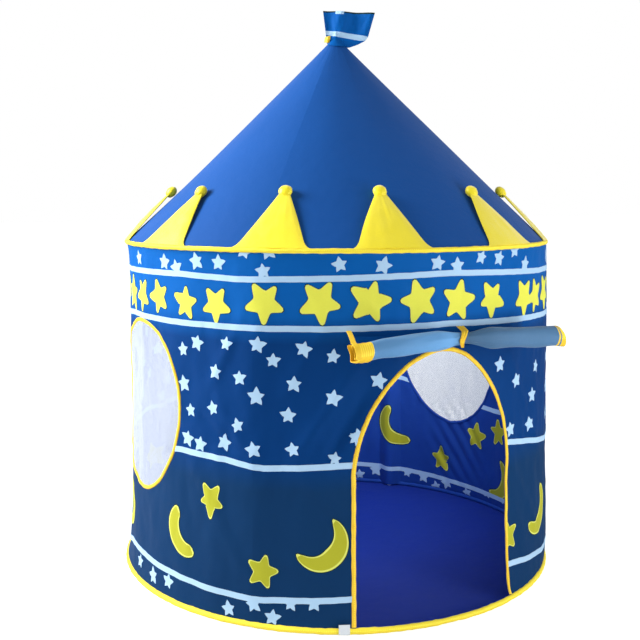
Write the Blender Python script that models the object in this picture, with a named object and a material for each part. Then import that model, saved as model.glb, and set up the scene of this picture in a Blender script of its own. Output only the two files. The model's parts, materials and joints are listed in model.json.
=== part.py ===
"""Kids play tent: a round castle tent on two spring hoops and four jointed legs.

Metres, +Z up. The origin is the middle of the floor's underside. The doorway
faces -Y. An angle round the tent is counted from the middle of the doorway
towards +X.
"""
import math

import bmesh
import bpy
from mathutils import Matrix, Vector

# Main sizes
TENT_RADIUS = 0.525
EAVE_HEIGHT = 0.783
ROOF_RISE = 0.509
ROUND_STEPS = 48
QUARTER_STEPS = ROUND_STEPS // 4

# Cloth and clearances
CLOTH = 0.0015
NET = 0.0010
RIBBON = 0.0012
GAP = 0.0003
SEAM_DEPTH = 0.0015

# Hoops and the binding tubes that hold them
WIRE_RADIUS = 0.0025
HEM_RADIUS = 0.0068
TRIM_RADIUS = 0.0054
BINDING_RADIUS = 0.0050

# Doorway
DOOR_HALF_WIDTH = 0.200
DOOR_HEIGHT = 0.576
DOOR_SPRING_HEIGHT = 0.315
DOOR_ARCH_POWER = 1.8
ARCH_STEPS = 16

# Windows
WINDOW_HALF_WIDTH = 0.172
WINDOW_SILL = 0.222
WINDOW_HEIGHT = 0.387
WINDOW_WIDEST_SHARE = 0.55
WINDOW_TOP_POWER = 2.1
WINDOW_FOOT_POWER = 1.85
WINDOW_STEPS = 32
WINDOWS = {"left": math.radians(-86), "right": math.radians(112)}
CUTTER_REACH = 0.060

# Legs
LEG_ANGLES = {"front_left": -45, "front_right": 45, "back_right": 135, "back_left": 225}
ROD_RADIUS = 0.0040
ROD_SIDES = 8
FOOT_RADIUS = 0.0070
FOOT_LENGTH = 0.022
FOOT_ROUNDING = 0.0020
FERRULE_WALL = 0.0006
FERRULE_LENGTH = 0.060
ELBOW_RADIUS = 0.0066
ELBOW_ARM = 0.038
ELBOW_BEND = 0.014
ELBOW_BEND_STEPS = 4

# Apex hub
HUB_RADIUS = 0.0095
HUB_SIDES = 12
HUB_DROP = 0.016
SOCKET_LENGTH = 0.034
ROD_STOP = 0.012
SPIGOT_RADIUS = 0.0050
SPIGOT_PROUD = 0.004

# Crown points round the eave
CROWN_COUNT = 11
CROWN_FIRST_ANGLE = math.radians(-106.1)
CROWN_SHIFT_SHARES = (0, 0, -0.01, -0.15, -0.09, -0.11, -0.09, -0.07, -0.05, -0.03, -0.01)
CROWN_WIDTH = 0.150
CROWN_LENGTH = 0.156
CROWN_TIP_WIDTH = 0.030
CROWN_PAD = 0.0034
CROWN_EDGE = 0.0016
CROWN_ROWS = 5
CROWN_COLUMNS = 6
BALL_RADIUS = 0.0165
BALL_STEPS = 10

# Door curtain, rolled up over the doorway
ROLL_LEFT = -0.237
ROLL_RIGHT = 0.294
ROLL_RADIUS = 0.0245
ROLL_ABOVE_DOOR = 0.007
ROLL_CORE_RADIUS = 0.0045
ROLL_LAYER = 0.0026
ROLL_TURNS = 3
ROLL_TURN_STEPS = 12
ROLL_STATION_SHARES = (0, 0.045, 0.14, 0.28, 0.40, 0.457, 0.511, 0.57, 0.70, 0.84, 0.955, 1)
ROLL_GIRTH_SHARES = (0.97, 1, 0.97, 0.9, 0.74, 0.5, 0.5, 0.74, 0.9, 0.96, 1, 0.96)
CURTAIN = 0.0012
CURTAIN_SEAM_HALF_WIDTH = 0.200
CURTAIN_EDGE_INSET = 0.022
CURTAIN_SEAM_ABOVE_ROLL = 0.0005
CURTAIN_COLUMNS = 12

# Ribbons that hold the roll
TIE_WIDTH = 0.022
TIE_PLACE = 0.020
TIE_DROP = 0.020
STRAP_WIDTH = 0.014
STRAP_PLACE = -0.222
STRAP_DROP = 0.018
RIBBON_RISE = 0.006
RIBBON_BEND_STEPS = 5

# Flag at the apex
FLAG_TURN = math.radians(-26)
FLAG_WIDTH = 0.131
FLAG_HEIGHT = 0.074
FLAG_SKIRT = 0.021
FLAG_FOOT_ACROSS_SHARES = (-0.245, -0.145, 0.0, 0.225, 0.50, 0.64)
FLAG_FOOT_DROP_SHARES = (0.45, 0.745, -0.32, 1.0, 0.38, -0.35)
FLAG_TOP_ACROSS_SHARES = (-0.28, -0.13, 0.04, 0.25, 0.48, 0.72)
FLAG_TOP_DROP_SHARES = (0.0, 0.03, 0.05, 0.04, 0.08, 0.11)
FLAG_CLOTH = 0.0022
FLAG_WAVE = 0.0070
FLAG_WAVES = 2
FLAG_ROWS = 4
FLAG_RIBBON_WIDTH = 0.010
FLAG_RIBBON_LENGTH = 0.012
FLAG_RIBBON_BOW = 0.004
FLAG_RIBBON_STEPS = 4

# Blank label patch at the hem
LABEL_ANGLE = math.radians(-24)
LABEL_WIDTH = 0.023
LABEL_HEIGHT = 0.021
LABEL_LIFT = 0.002
LABEL = 0.0008

# Cutters reach past what they cut by this much
OVERRUN = 0.010

# Sizes that follow from the ones above
ROLL_HEIGHT = DOOR_HEIGHT + ROLL_ABOVE_DOOR
WALL_INNER = TENT_RADIUS - CLOTH
WALL_MIDDLE = TENT_RADIUS - CLOTH / 2
NECK_RADIUS = SPIGOT_RADIUS + GAP + CLOTH / 2
ROOF_SLOPE = math.atan2(ROOF_RISE, WALL_MIDDLE - NECK_RADIUS)
WALL_FOOT = 2 * HEM_RADIUS - SEAM_DEPTH
WALL_TOP = EAVE_HEIGHT - TRIM_RADIUS + SEAM_DEPTH
BORE_RADIUS = (ROD_RADIUS + GAP) / math.cos(math.pi / ROD_SIDES)
LEG_RADIUS = WALL_MIDDLE - GAP - max(TRIM_RADIUS + ELBOW_RADIUS, HEM_RADIUS + FOOT_RADIUS)
ROLL_OUT = TENT_RADIUS + 2 * GAP + CURTAIN + ROLL_RADIUS
CURTAIN_SEAM = ROLL_HEIGHT + ROLL_RADIUS + CURTAIN_SEAM_ABOVE_ROLL

COLOURS = {
    "print_cloth": ((0.010, 0.075, 0.250), 0.72, 0.0),
    "roof_cloth": ((0.016, 0.095, 0.400), 0.68, 0.0),
    "floor_cloth": ((0.014, 0.030, 0.230), 0.75, 0.0),
    "yellow_cloth": ((0.930, 0.780, 0.030), 0.70, 0.0),
    "net": ((0.620, 0.690, 0.780), 0.80, 0.0),
    "label": ((0.850, 0.860, 0.850), 0.80, 0.0),
    "spring_steel": ((0.420, 0.430, 0.440), 0.35, 1.0),
    "rod": ((0.780, 0.790, 0.800), 0.45, 0.0),
    "hub_plastic": ((0.040, 0.042, 0.045), 0.50, 0.0),
}


def clear_scene():
    for item in list(bpy.data.objects):
        bpy.data.objects.remove(item)


def material(name):
    found = bpy.data.materials.get(name)
    if found:
        return found
    colour, roughness, metallic = COLOURS[name]
    made = bpy.data.materials.new(name)
    made.use_nodes = True
    shader = made.node_tree.nodes["Principled BSDF"]
    shader.inputs["Base Color"].default_value = (*colour, 1)
    shader.inputs["Roughness"].default_value = roughness
    shader.inputs["Metallic"].default_value = metallic
    made.diffuse_color = (*colour, 1)
    return made


def finish_mesh(name, bm, finish, place=None):
    """Turn a bmesh into a smooth shaded object; place moves its origin, not its shape."""
    bmesh.ops.triangulate(bm, faces=bm.faces)
    bmesh.ops.recalc_face_normals(bm, faces=bm.faces)
    mesh = bpy.data.meshes.new(name)
    bm.to_mesh(mesh)
    bm.free()
    mesh.materials.append(material(finish))
    mesh.shade_smooth()
    mesh.set_sharp_from_angle(angle=math.radians(35))
    made = bpy.data.objects.new(name, mesh)
    bpy.context.collection.objects.link(made)
    if place is not None:
        mesh.transform(Matrix.Translation(-Vector(place)))
        made.location = place
    return made


def sweep(rings, closed=False):
    """Join equal rings of points into one skin; an open row of rings gets end caps."""
    bm = bmesh.new()
    rows = [[bm.verts.new(point) for point in ring] for ring in rings]
    size = len(rows[0])
    pairs = list(zip(rows, rows[1:] + rows[:1])) if closed else list(zip(rows, rows[1:]))
    for first, second in pairs:
        for corner in range(size):
            after = (corner + 1) % size
            bm.faces.new((first[corner], first[after], second[after], second[corner]))
    if not closed:
        bm.faces.new(rows[0])
        bm.faces.new(rows[-1])
    return bm


def facet_radius(radius, angle):
    """Distance of the tent's many-sided skin at an angle, for corners at the given radius."""
    step = math.tau / ROUND_STEPS
    return radius * math.cos(step / 2) / math.cos(angle % step - step / 2)


def around(angle, radius, height):
    return Vector((radius * math.sin(angle), -radius * math.cos(angle), height))


def on_skin(angle, radius, height):
    return around(angle, facet_radius(radius, angle), height)


def turn_full(profile):
    """Turn a closed profile of (radius, height) points all the way round the tent."""
    angles = [math.tau * step / ROUND_STEPS for step in range(ROUND_STEPS)]
    return sweep([[around(angle, r, z) for r, z in profile] for angle in angles], closed=True)


def turn_quarter(profile, start):
    """Turn a profile from one leg to the next, short of each leg's seam by half a gap."""
    step = math.tau / ROUND_STEPS
    angles = [start + step * count for count in range(QUARTER_STEPS + 1)]
    trim = GAP / 2 / TENT_RADIUS
    angles[0] += trim
    angles[-1] -= trim
    return sweep([[on_skin(angle, r, z) for r, z in profile] for angle in angles])


def c_profile(radius, height, outer, slit_up):
    """Section of a binding tube, slit along one side for the cloth, with a bore for the wire."""
    way = 1 if slit_up else -1
    half_slit = CLOTH / 2 + GAP
    inner_steps = 5
    outer_steps = 7
    bore = (WIRE_RADIUS + GAP) / math.cos(math.pi / inner_steps)
    outer_start = math.asin(half_slit / outer)
    inner_start = math.asin(half_slit / bore)
    points = []
    for step in range(outer_steps + 1):
        angle = outer_start + (math.tau - 2 * outer_start) * step / outer_steps
        points.append((radius + outer * math.sin(angle), height + way * outer * math.cos(angle)))
    for step in range(inner_steps + 1):
        angle = math.tau - inner_start - (math.tau - 2 * inner_start) * step / inner_steps
        points.append((radius + bore * math.sin(angle), height + way * bore * math.cos(angle)))
    return points


def circle_profile(radius, height, thick, sides=6):
    return [
        (radius + thick * math.cos(math.tau * side / sides),
         height + thick * math.sin(math.tau * side / sides))
        for side in range(sides)
    ]


def offset_outline(points, distance, closed):
    """Move a flat outline, run anticlockwise, outwards by a distance measured square to it."""
    moved = []
    last = len(points) - 1
    for index, point in enumerate(points):
        before = points[index - 1] if closed or index else point
        after = points[(index + 1) % len(points)] if closed or index < last else point
        legs = [leg.normalized() for leg in (point - before, after - point) if leg.length]
        normals = [Vector((leg.y, -leg.x)) for leg in legs]
        normal = sum(normals, Vector((0, 0))).normalized()
        moved.append(point + normal * distance / normal.dot(normals[0]))
    return moved


def door_outline():
    """Doorway edge as (arc length, height), from the right foot over the arch to the left."""
    rise = DOOR_HEIGHT - DOOR_SPRING_HEIGHT
    foot = 2 * HEM_RADIUS + GAP
    side = [Vector((DOOR_HALF_WIDTH, foot)), Vector((DOOR_HALF_WIDTH, (foot + DOOR_SPRING_HEIGHT) / 2))]
    arch = []
    for step in range(ARCH_STEPS + 1):
        turn = math.pi * step / ARCH_STEPS
        share = abs(math.cos(turn)) ** (2 / DOOR_ARCH_POWER)
        across = math.copysign(DOOR_HALF_WIDTH * share, math.cos(turn))
        up = DOOR_SPRING_HEIGHT + rise * math.sin(turn) ** (2 / DOOR_ARCH_POWER)
        arch.append(Vector((across, up)))
    return side + arch + [Vector((-point.x, point.y)) for point in reversed(side)]


def window_outline():
    """Window edge as (arc length, height), anticlockwise, a little pointed at its foot."""
    widest = WINDOW_SILL + WINDOW_HEIGHT * WINDOW_WIDEST_SHARE
    points = []
    for step in range(WINDOW_STEPS):
        turn = math.tau * step / WINDOW_STEPS
        upper = math.sin(turn) >= 0
        power = WINDOW_TOP_POWER if upper else WINDOW_FOOT_POWER
        reach = WINDOW_SILL + WINDOW_HEIGHT - widest if upper else widest - WINDOW_SILL
        across = math.copysign(abs(math.cos(turn)) ** (2 / power), math.cos(turn))
        up = math.copysign(abs(math.sin(turn)) ** (2 / power), math.sin(turn))
        points.append(Vector((WINDOW_HALF_WIDTH * across, widest + reach * up)))
    return points


def outline_prism(name, points, centre_angle):
    """A cutter through the wall: the outline run straight along the radius at its middle."""
    across = []
    for point in points:
        turn = point.x / TENT_RADIUS
        across.append(facet_radius(WALL_MIDDLE, centre_angle + turn) * math.sin(turn))
    rings = []
    for depth in (TENT_RADIUS - CUTTER_REACH, TENT_RADIUS + CUTTER_REACH):
        rings.append([Vector((x, -depth, point.y)) for x, point in zip(across, points)])
    made = finish_mesh(name, sweep(rings), "hub_plastic")
    made.rotation_euler.z = centre_angle
    made.hide_render = True
    made.display_type = "WIRE"
    return made


def cut(target, cutter, operation="DIFFERENCE"):
    step = target.modifiers.new(cutter.name, "BOOLEAN")
    step.operation = operation
    step.solver = "EXACT"
    step.object = cutter


def binding_tube(name, points, centre_angle, closed):
    """A round yellow binding along an outline on the wall's middle skin."""
    curve = bpy.data.curves.new(name, "CURVE")
    curve.dimensions = "3D"
    curve.bevel_depth = BINDING_RADIUS
    curve.bevel_resolution = 2
    curve.use_fill_caps = True
    spline = curve.splines.new("POLY")
    spline.points.add(len(points) - 1)
    for knot, point in zip(spline.points, points):
        angle = centre_angle + point.x / TENT_RADIUS
        knot.co = (*on_skin(angle, WALL_MIDDLE, point.y), 1)
    spline.use_cyclic_u = closed
    curve.materials.append(material("yellow_cloth"))
    made = bpy.data.objects.new(name, curve)
    bpy.context.collection.objects.link(made)


def build_floor():
    flat = HEM_RADIUS - CLOTH
    radius = WALL_MIDDLE - math.sqrt(HEM_RADIUS ** 2 - flat ** 2) - GAP
    bm = bmesh.new()
    bmesh.ops.create_cone(
        bm, cap_ends=True, segments=ROUND_STEPS, radius1=radius, radius2=radius, depth=CLOTH,
        matrix=Matrix.Translation((0, 0, CLOTH / 2)))
    finish_mesh("floor_sheet", bm, "floor_cloth")


def build_hoops():
    """The two spring hoops and the yellow tubes that hold them."""
    finish_mesh("base_hoop", turn_full(circle_profile(WALL_MIDDLE, HEM_RADIUS, WIRE_RADIUS)),
                "spring_steel")
    finish_mesh("base_binding", turn_full(c_profile(WALL_MIDDLE, HEM_RADIUS, HEM_RADIUS, True)),
                "yellow_cloth")
    finish_mesh("eave_hoop", turn_full(circle_profile(WALL_MIDDLE, EAVE_HEIGHT, WIRE_RADIUS)),
                "spring_steel")
    finish_mesh("eave_binding", turn_full(c_profile(WALL_MIDDLE, EAVE_HEIGHT, TRIM_RADIUS, False)),
                "yellow_cloth")


def build_walls():
    """Four curved cloth panels, seamed at the legs, with the doorway and windows cut out."""
    profile = [(WALL_INNER, WALL_FOOT), (TENT_RADIUS, WALL_FOOT),
               (TENT_RADIUS, WALL_TOP), (WALL_INNER, WALL_TOP)]
    panels = {}
    for name, start in (("front", -45), ("right", 45), ("back", 135), ("left", 225)):
        bm = turn_quarter(profile, math.radians(start))
        panels[name] = finish_mesh("wall_" + name, bm, "print_cloth")
    edge = BINDING_RADIUS + GAP
    door = door_outline()
    hole = offset_outline(door, edge, closed=False)
    hole[0].y = -OVERRUN
    hole[-1].y = -OVERRUN
    cut(panels["front"], outline_prism("doorway_cutter", hole, 0))
    binding_tube("door_binding", door, 0, closed=False)
    window = window_outline()
    for side, angle in WINDOWS.items():
        hole = offset_outline(window, edge, closed=True)
        cut(panels[side], outline_prism("window_cutter_" + side, hole, angle))
        binding_tube("window_binding_" + side, window, angle, closed=True)
        build_net(side, window, angle)


def build_net(side, window, angle):
    """The window's net, curved with the wall, inside its binding."""
    width = WINDOW_HALF_WIDTH / TENT_RADIUS
    step = math.tau / ROUND_STEPS
    first = math.floor((angle - width) / step)
    last = math.ceil((angle + width) / step)
    low = WINDOW_SILL - BINDING_RADIUS
    high = WINDOW_SILL + WINDOW_HEIGHT + BINDING_RADIUS
    inner = WALL_MIDDLE - NET / 2
    outer = WALL_MIDDLE + NET / 2
    profile = [(inner, low), (outer, low), (outer, high), (inner, high)]
    rings = [[around(step * count, r, z) for r, z in profile] for count in range(first, last + 1)]
    net = finish_mesh("window_net_" + side, sweep(rings), "net")
    kept = offset_outline(window, -BINDING_RADIUS - GAP, closed=True)
    cut(net, outline_prism("net_outline_" + side, kept, angle), "INTERSECT")


def roof_point(run, lift):
    """A point of the roof's section: run along the slope from the eave hoop, lift square to it."""
    radius = WALL_MIDDLE - run * math.cos(ROOF_SLOPE) + lift * math.sin(ROOF_SLOPE)
    height = EAVE_HEIGHT + run * math.sin(ROOF_SLOPE) + lift * math.cos(ROOF_SLOPE)
    return radius, height


def build_roof():
    """Four gores of plain cloth from the eave trim up to the neck."""
    foot = TRIM_RADIUS + GAP
    top = (WALL_MIDDLE - NECK_RADIUS) / math.cos(ROOF_SLOPE)
    profile = [roof_point(foot, -CLOTH / 2), roof_point(foot, CLOTH / 2),
               roof_point(top, CLOTH / 2), roof_point(top, -CLOTH / 2)]
    for name, start in (("front", -45), ("right", 45), ("back", 135), ("left", 225)):
        finish_mesh("roof_gore_" + name, turn_quarter(profile, math.radians(start)), "roof_cloth")


def ring(centre, axis, radius, sides):
    """A ring of points square to an axis, with a corner towards the tent's outside."""
    side = Vector((0, 0, 1)).cross(axis)
    side = side.normalized() if side.length > math.sin(math.radians(1)) else Vector((1, 0, 0))
    up = axis.cross(side)
    turns = [math.tau * count / sides for count in range(sides)]
    return [centre + radius * (math.cos(turn) * side + math.sin(turn) * up) for turn in turns]


def turned_rod(name, start, end, stations):
    """A rod from start to end; stations are (distance from the start, radius)."""
    axis = (end - start).normalized()
    rings = [ring(start + axis * run, axis, radius, ROD_SIDES) for run, radius in stations]
    finish_mesh(name, sweep(rings), "rod")


def ferrule_stations(length):
    middle = length / 2
    sleeve = ROD_RADIUS + FERRULE_WALL
    low = middle - FERRULE_LENGTH / 2
    high = middle + FERRULE_LENGTH / 2
    return [(low, ROD_RADIUS), (low + FERRULE_WALL, sleeve),
            (high - FERRULE_WALL, sleeve), (high, ROD_RADIUS)]


def leg_corner(angle):
    """Where a leg's wall rod and roof rod lines meet, inside the elbow."""
    lift = -(CLOTH / 2 + GAP + ELBOW_RADIUS)
    start_radius, start_height = roof_point(0, lift)
    run = (start_radius - LEG_RADIUS) / math.cos(ROOF_SLOPE)
    return around(angle, LEG_RADIUS, start_height + run * math.sin(ROOF_SLOPE))


def roof_direction(angle):
    return around(angle, -math.cos(ROOF_SLOPE), math.sin(ROOF_SLOPE))


def build_elbow(name, corner, slope):
    """A moulded elbow: one bent pipe that takes a rod in each end."""
    down = Vector((0, 0, -1))
    places = [(corner + down * ELBOW_ARM, -down)]
    for step in range(ELBOW_BEND_STEPS + 1):
        share = step / ELBOW_BEND_STEPS
        first = corner + down * ELBOW_BEND * (1 - share)
        second = corner + slope * ELBOW_BEND * share
        places.append((first.lerp(second, share), (-down).lerp(slope, share).normalized()))
    places.append((corner + slope * ELBOW_ARM, slope))
    outside = [ring(spot, axis, ELBOW_RADIUS, ROD_SIDES) for spot, axis in places]
    inside = [ring(spot, axis, BORE_RADIUS, ROD_SIDES) for spot, axis in reversed(places)]
    finish_mesh(name, sweep(outside + inside, closed=True), "hub_plastic")


def build_legs():
    """Each leg: a wall rod on its foot cap, an elbow at the eave and a roof rod to the hub."""
    for name, degrees in LEG_ANGLES.items():
        angle = math.radians(degrees)
        corner = leg_corner(angle)
        slope = roof_direction(angle)
        foot = around(angle, LEG_RADIUS, CLOTH + GAP)
        top = corner - Vector((0, 0, ELBOW_BEND + GAP))
        length = (top - foot).length
        cap = [(0, FOOT_RADIUS - FOOT_ROUNDING), (FOOT_ROUNDING, FOOT_RADIUS),
               (FOOT_LENGTH - FOOT_ROUNDING, FOOT_RADIUS), (FOOT_LENGTH, ROD_RADIUS)]
        turned_rod("wall_rod_" + name, foot, top,
                   cap + ferrule_stations(length) + [(length, ROD_RADIUS)])
        build_elbow("elbow_" + name, corner, slope)
        start = corner + slope * (ELBOW_BEND + GAP)
        end = corner + slope * (LEG_RADIUS / math.cos(ROOF_SLOPE) - ROD_STOP - GAP)
        length = (end - start).length
        turned_rod("roof_rod_" + name, start, end,
                   [(0, ROD_RADIUS)] + ferrule_stations(length) + [(length, ROD_RADIUS)])


def cylinder(name, start, end, radius):
    axis = (end - start).normalized()
    rings = [ring(spot, axis, radius, HUB_SIDES) for spot in (start, end)]
    return finish_mesh(name, sweep(rings), "hub_plastic")


def build_hub():
    """The apex hub: a plug with four sockets, and a spigot up through the roof's neck."""
    some_angle = math.radians(LEG_ANGLES["front_left"])
    run = LEG_RADIUS / math.cos(ROOF_SLOPE)
    meeting = leg_corner(some_angle) + roof_direction(some_angle) * run
    meeting = Vector((0, 0, meeting.z))
    inside_tip = EAVE_HEIGHT + (WALL_MIDDLE * math.tan(ROOF_SLOPE)) - CLOTH / 2 / math.cos(ROOF_SLOPE)
    shoulder = inside_tip - (HUB_RADIUS + GAP) * math.tan(ROOF_SLOPE) - GAP
    hub = cylinder("apex_hub", meeting - Vector((0, 0, HUB_DROP)), Vector((0, 0, shoulder)), HUB_RADIUS)
    neck = EAVE_HEIGHT + ROOF_RISE
    spigot = cylinder("spigot_guide", meeting, Vector((0, 0, neck + SPIGOT_PROUD)), SPIGOT_RADIUS)
    parts = [spigot]
    bores = []
    for name, degrees in LEG_ANGLES.items():
        slope = roof_direction(math.radians(degrees))
        mouth = meeting - slope * SOCKET_LENGTH
        parts.append(cylinder("socket_guide_" + name, meeting, mouth, ELBOW_RADIUS))
        bores.append(cylinder("bore_guide_" + name, meeting - slope * ROD_STOP,
                              mouth - slope * OVERRUN, BORE_RADIUS))
    for guide in parts + bores:
        guide.hide_render = True
        guide.display_type = "WIRE"
        cut(hub, guide, "UNION" if guide in parts else "DIFFERENCE")


def crown_angle(index):
    pitch = math.tau / CROWN_COUNT
    shift = CROWN_SHIFT_SHARES[index % len(CROWN_SHIFT_SHARES)]
    return CROWN_FIRST_ANGLE + pitch * (index + shift)


def build_crown():
    """Padded yellow points sewn along the eave, each with a ball at its free tip."""
    lean = math.asin((BALL_RADIUS - CROWN_PAD / 2) / CROWN_LENGTH)
    base_run = TRIM_RADIUS + GAP + CROWN_PAD / 2
    base_lift = CLOTH / 2 + GAP + CROWN_PAD / 2
    base_radius, base_height = roof_point(base_run, base_lift)
    flap = CROWN_LENGTH - BALL_RADIUS - GAP
    tilt = ROOF_SLOPE + lean
    inward = Vector((0, math.cos(tilt), math.sin(tilt)))
    outward = Vector((0, -math.sin(tilt), math.cos(tilt)))
    ball_place = Vector((0, -base_radius, base_height)) + inward * CROWN_LENGTH
    for index in range(CROWN_COUNT):
        label = f"{index + 1:02d}"
        rings = []
        for row in range(CROWN_ROWS + 1):
            share = row / CROWN_ROWS
            along = flap * share
            half = (CROWN_WIDTH + (CROWN_TIP_WIDTH - CROWN_WIDTH) * share) / 2
            local_radius = base_radius - along * math.cos(tilt)
            front = []
            back = []
            for column in range(CROWN_COLUMNS + 1):
                across = (2 * column / CROWN_COLUMNS - 1) * half
                bow = local_radius - math.sqrt(local_radius ** 2 - across ** 2)
                middle = Vector((across, bow - base_radius, base_height)) + inward * along
                full = 1 - (across / half) ** 2
                thick = CROWN_EDGE + (CROWN_PAD - CROWN_EDGE) * full
                front.append(middle + outward * thick / 2)
                back.append(middle - outward * thick / 2)
            rings.append(front + back[::-1])
        pivot = Vector((0, -base_radius, base_height))
        flap_piece = finish_mesh("crown_point_" + label, sweep(rings), "yellow_cloth", pivot)
        bm = bmesh.new()
        bmesh.ops.create_uvsphere(bm, u_segments=BALL_STEPS, v_segments=BALL_STEPS // 2 + 1,
                                  radius=BALL_RADIUS)
        ball = finish_mesh("crown_ball_" + label, bm, "yellow_cloth")
        turn = Matrix.Rotation(crown_angle(index), 4, "Z")
        flap_piece.matrix_world = turn @ Matrix.Translation(pivot)
        ball.parent = flap_piece
        ball.location = ball_place - pivot


def roll_section(girth):
    """The rolled curtain's spiral edge, scaled by its girth, as (forward, up) points."""
    pitch = (ROLL_RADIUS - ROLL_CORE_RADIUS - ROLL_LAYER) / ROLL_TURNS
    steps = ROLL_TURNS * ROLL_TURN_STEPS
    outside = []
    inside = []
    for step in range(steps + 1):
        turn = math.tau * step / ROLL_TURN_STEPS
        radius = ROLL_CORE_RADIUS + pitch * step / ROLL_TURN_STEPS
        inside.append((radius * girth * math.cos(turn), radius * girth * math.sin(turn)))
        outer = radius + ROLL_LAYER
        outside.append((outer * girth * math.cos(turn), outer * girth * math.sin(turn)))
    return outside + inside[::-1]


def build_door_roll():
    """The curtain wound up tight, pinched where the tie holds it."""
    length = ROLL_RIGHT - ROLL_LEFT
    rings = []
    for place, girth in zip(ROLL_STATION_SHARES, ROLL_GIRTH_SHARES):
        x = ROLL_LEFT + length * place
        points = roll_section(girth)
        rings.append([Vector((x, -ROLL_OUT + forward, ROLL_HEIGHT + up)) for forward, up in points])
    finish_mesh("door_roll", sweep(rings), "print_cloth", (0, -ROLL_OUT, ROLL_HEIGHT))


def build_door_curtain():
    """The short hanging stretch between the seam on the wall and the back of the roll."""
    left = ROLL_LEFT + CURTAIN_EDGE_INSET
    right = ROLL_RIGHT - CURTAIN_EDGE_INSET
    hang = -(TENT_RADIUS + GAP + CURTAIN / 2)
    rings = []
    for column in range(CURTAIN_COLUMNS + 1):
        share = column / CURTAIN_COLUMNS
        angle = (2 * share - 1) * CURTAIN_SEAM_HALF_WIDTH / TENT_RADIUS
        near = TENT_RADIUS + GAP
        seam = around(angle, near + CURTAIN / 2, CURTAIN_SEAM)
        foot = Vector((left + (right - left) * share, hang, ROLL_HEIGHT))
        out = around(angle, CURTAIN / 2, 0)
        flat = Vector((0, -CURTAIN / 2, 0))
        rings.append([seam - out, seam + out, foot + flat, foot - flat])
    finish_mesh("door_curtain", sweep(rings), "print_cloth")


def build_ribbon(name, place, root_out, width, girth, drop):
    """A ribbon from the wall over the roll's top, down its front and on for a short drop."""
    root = (-root_out, CURTAIN_SEAM + RIBBON_RISE)
    reach = ROLL_RADIUS * girth + GAP + RIBBON / 2
    line = [root]
    for step in range(RIBBON_BEND_STEPS + 1):
        turn = math.radians(90) + math.radians(90) * step / RIBBON_BEND_STEPS
        line.append((-ROLL_OUT + reach * math.cos(turn), ROLL_HEIGHT + reach * math.sin(turn)))
    line.append((line[-1][0], ROLL_HEIGHT - drop))
    rings = []
    for index, point in enumerate(line):
        before = Vector(line[max(index - 1, 0)])
        after = Vector(line[min(index + 1, len(line) - 1)])
        along = (after - before).normalized()
        side = Vector((-along.y, along.x)) * RIBBON / 2
        rings.append([
            Vector((place - width / 2, point[0] + side.x, point[1] + side.y)),
            Vector((place + width / 2, point[0] + side.x, point[1] + side.y)),
            Vector((place + width / 2, point[0] - side.x, point[1] - side.y)),
            Vector((place - width / 2, point[0] - side.x, point[1] - side.y)),
        ])
    finish_mesh(name, sweep(rings), "yellow_cloth", (place, root[0], root[1]))


def ribbon_root(place, width):
    """How far out a flat ribbon's root lies, just clear of the wall behind its inner edge."""
    inner = max(abs(place) - width / 2, 0)
    angle = math.asin(inner / TENT_RADIUS)
    return facet_radius(TENT_RADIUS, angle) * math.cos(angle) + GAP + RIBBON / 2


def build_ribbons():
    girth = min(ROLL_GIRTH_SHARES)
    build_ribbon("center_tie", TIE_PLACE, ribbon_root(TIE_PLACE, TIE_WIDTH), TIE_WIDTH, girth, TIE_DROP)
    build_ribbon("side_strap", STRAP_PLACE, ribbon_root(STRAP_PLACE, STRAP_WIDTH), STRAP_WIDTH, 1, STRAP_DROP)


def build_flag():
    """A gathered tail of the wall's cloth that sits over the roof's tip and fans out."""
    pivot = EAVE_HEIGHT + ROOF_RISE + SPIGOT_PROUD + 2 * GAP
    top = EAVE_HEIGHT + ROOF_RISE + FLAG_HEIGHT - pivot
    last = len(FLAG_FOOT_ACROSS_SHARES) - 1
    rings = []
    for row in range(FLAG_ROWS + 1):
        up = row / FLAG_ROWS
        front = []
        back = []
        for column in range(last + 1):
            foot = Vector((FLAG_FOOT_ACROSS_SHARES[column] * FLAG_WIDTH,
                           -FLAG_FOOT_DROP_SHARES[column] * FLAG_SKIRT))
            head = Vector((FLAG_TOP_ACROSS_SHARES[column] * FLAG_WIDTH,
                           top * (1 - FLAG_TOP_DROP_SHARES[column])))
            spot = foot.lerp(head, up)
            wave = FLAG_WAVE * math.sin(math.tau * FLAG_WAVES * column / last)
            front.append(Vector((spot.x, wave - FLAG_CLOTH / 2, spot.y)))
            back.append(Vector((spot.x, wave + FLAG_CLOTH / 2, spot.y)))
        rings.append(front + back[::-1])
    flag = finish_mesh("flag", sweep(rings), "print_cloth")
    flag.location = (0, 0, pivot)
    flag.rotation_euler.z = FLAG_TURN
    build_flag_ribbon(flag)


def build_flag_ribbon(flag):
    """The small yellow ribbon sewn to the flag's lower left edge."""
    start = min(FLAG_FOOT_ACROSS_SHARES) * FLAG_WIDTH - RIBBON
    low = -FLAG_FOOT_DROP_SHARES[0] * FLAG_SKIRT
    rings = []
    for step in range(FLAG_RIBBON_STEPS + 1):
        share = step / FLAG_RIBBON_STEPS
        x = start - FLAG_RIBBON_LENGTH * share
        bow = FLAG_RIBBON_BOW * math.sin(math.pi * share)
        rings.append([Vector((x, bow - RIBBON / 2, low)), Vector((x, bow + RIBBON / 2, low)),
                      Vector((x, bow + RIBBON / 2, low + FLAG_RIBBON_WIDTH)),
                      Vector((x, bow - RIBBON / 2, low + FLAG_RIBBON_WIDTH))])
    ribbon = finish_mesh("flag_ribbon", sweep(rings), "yellow_cloth")
    ribbon.parent = flag


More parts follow.
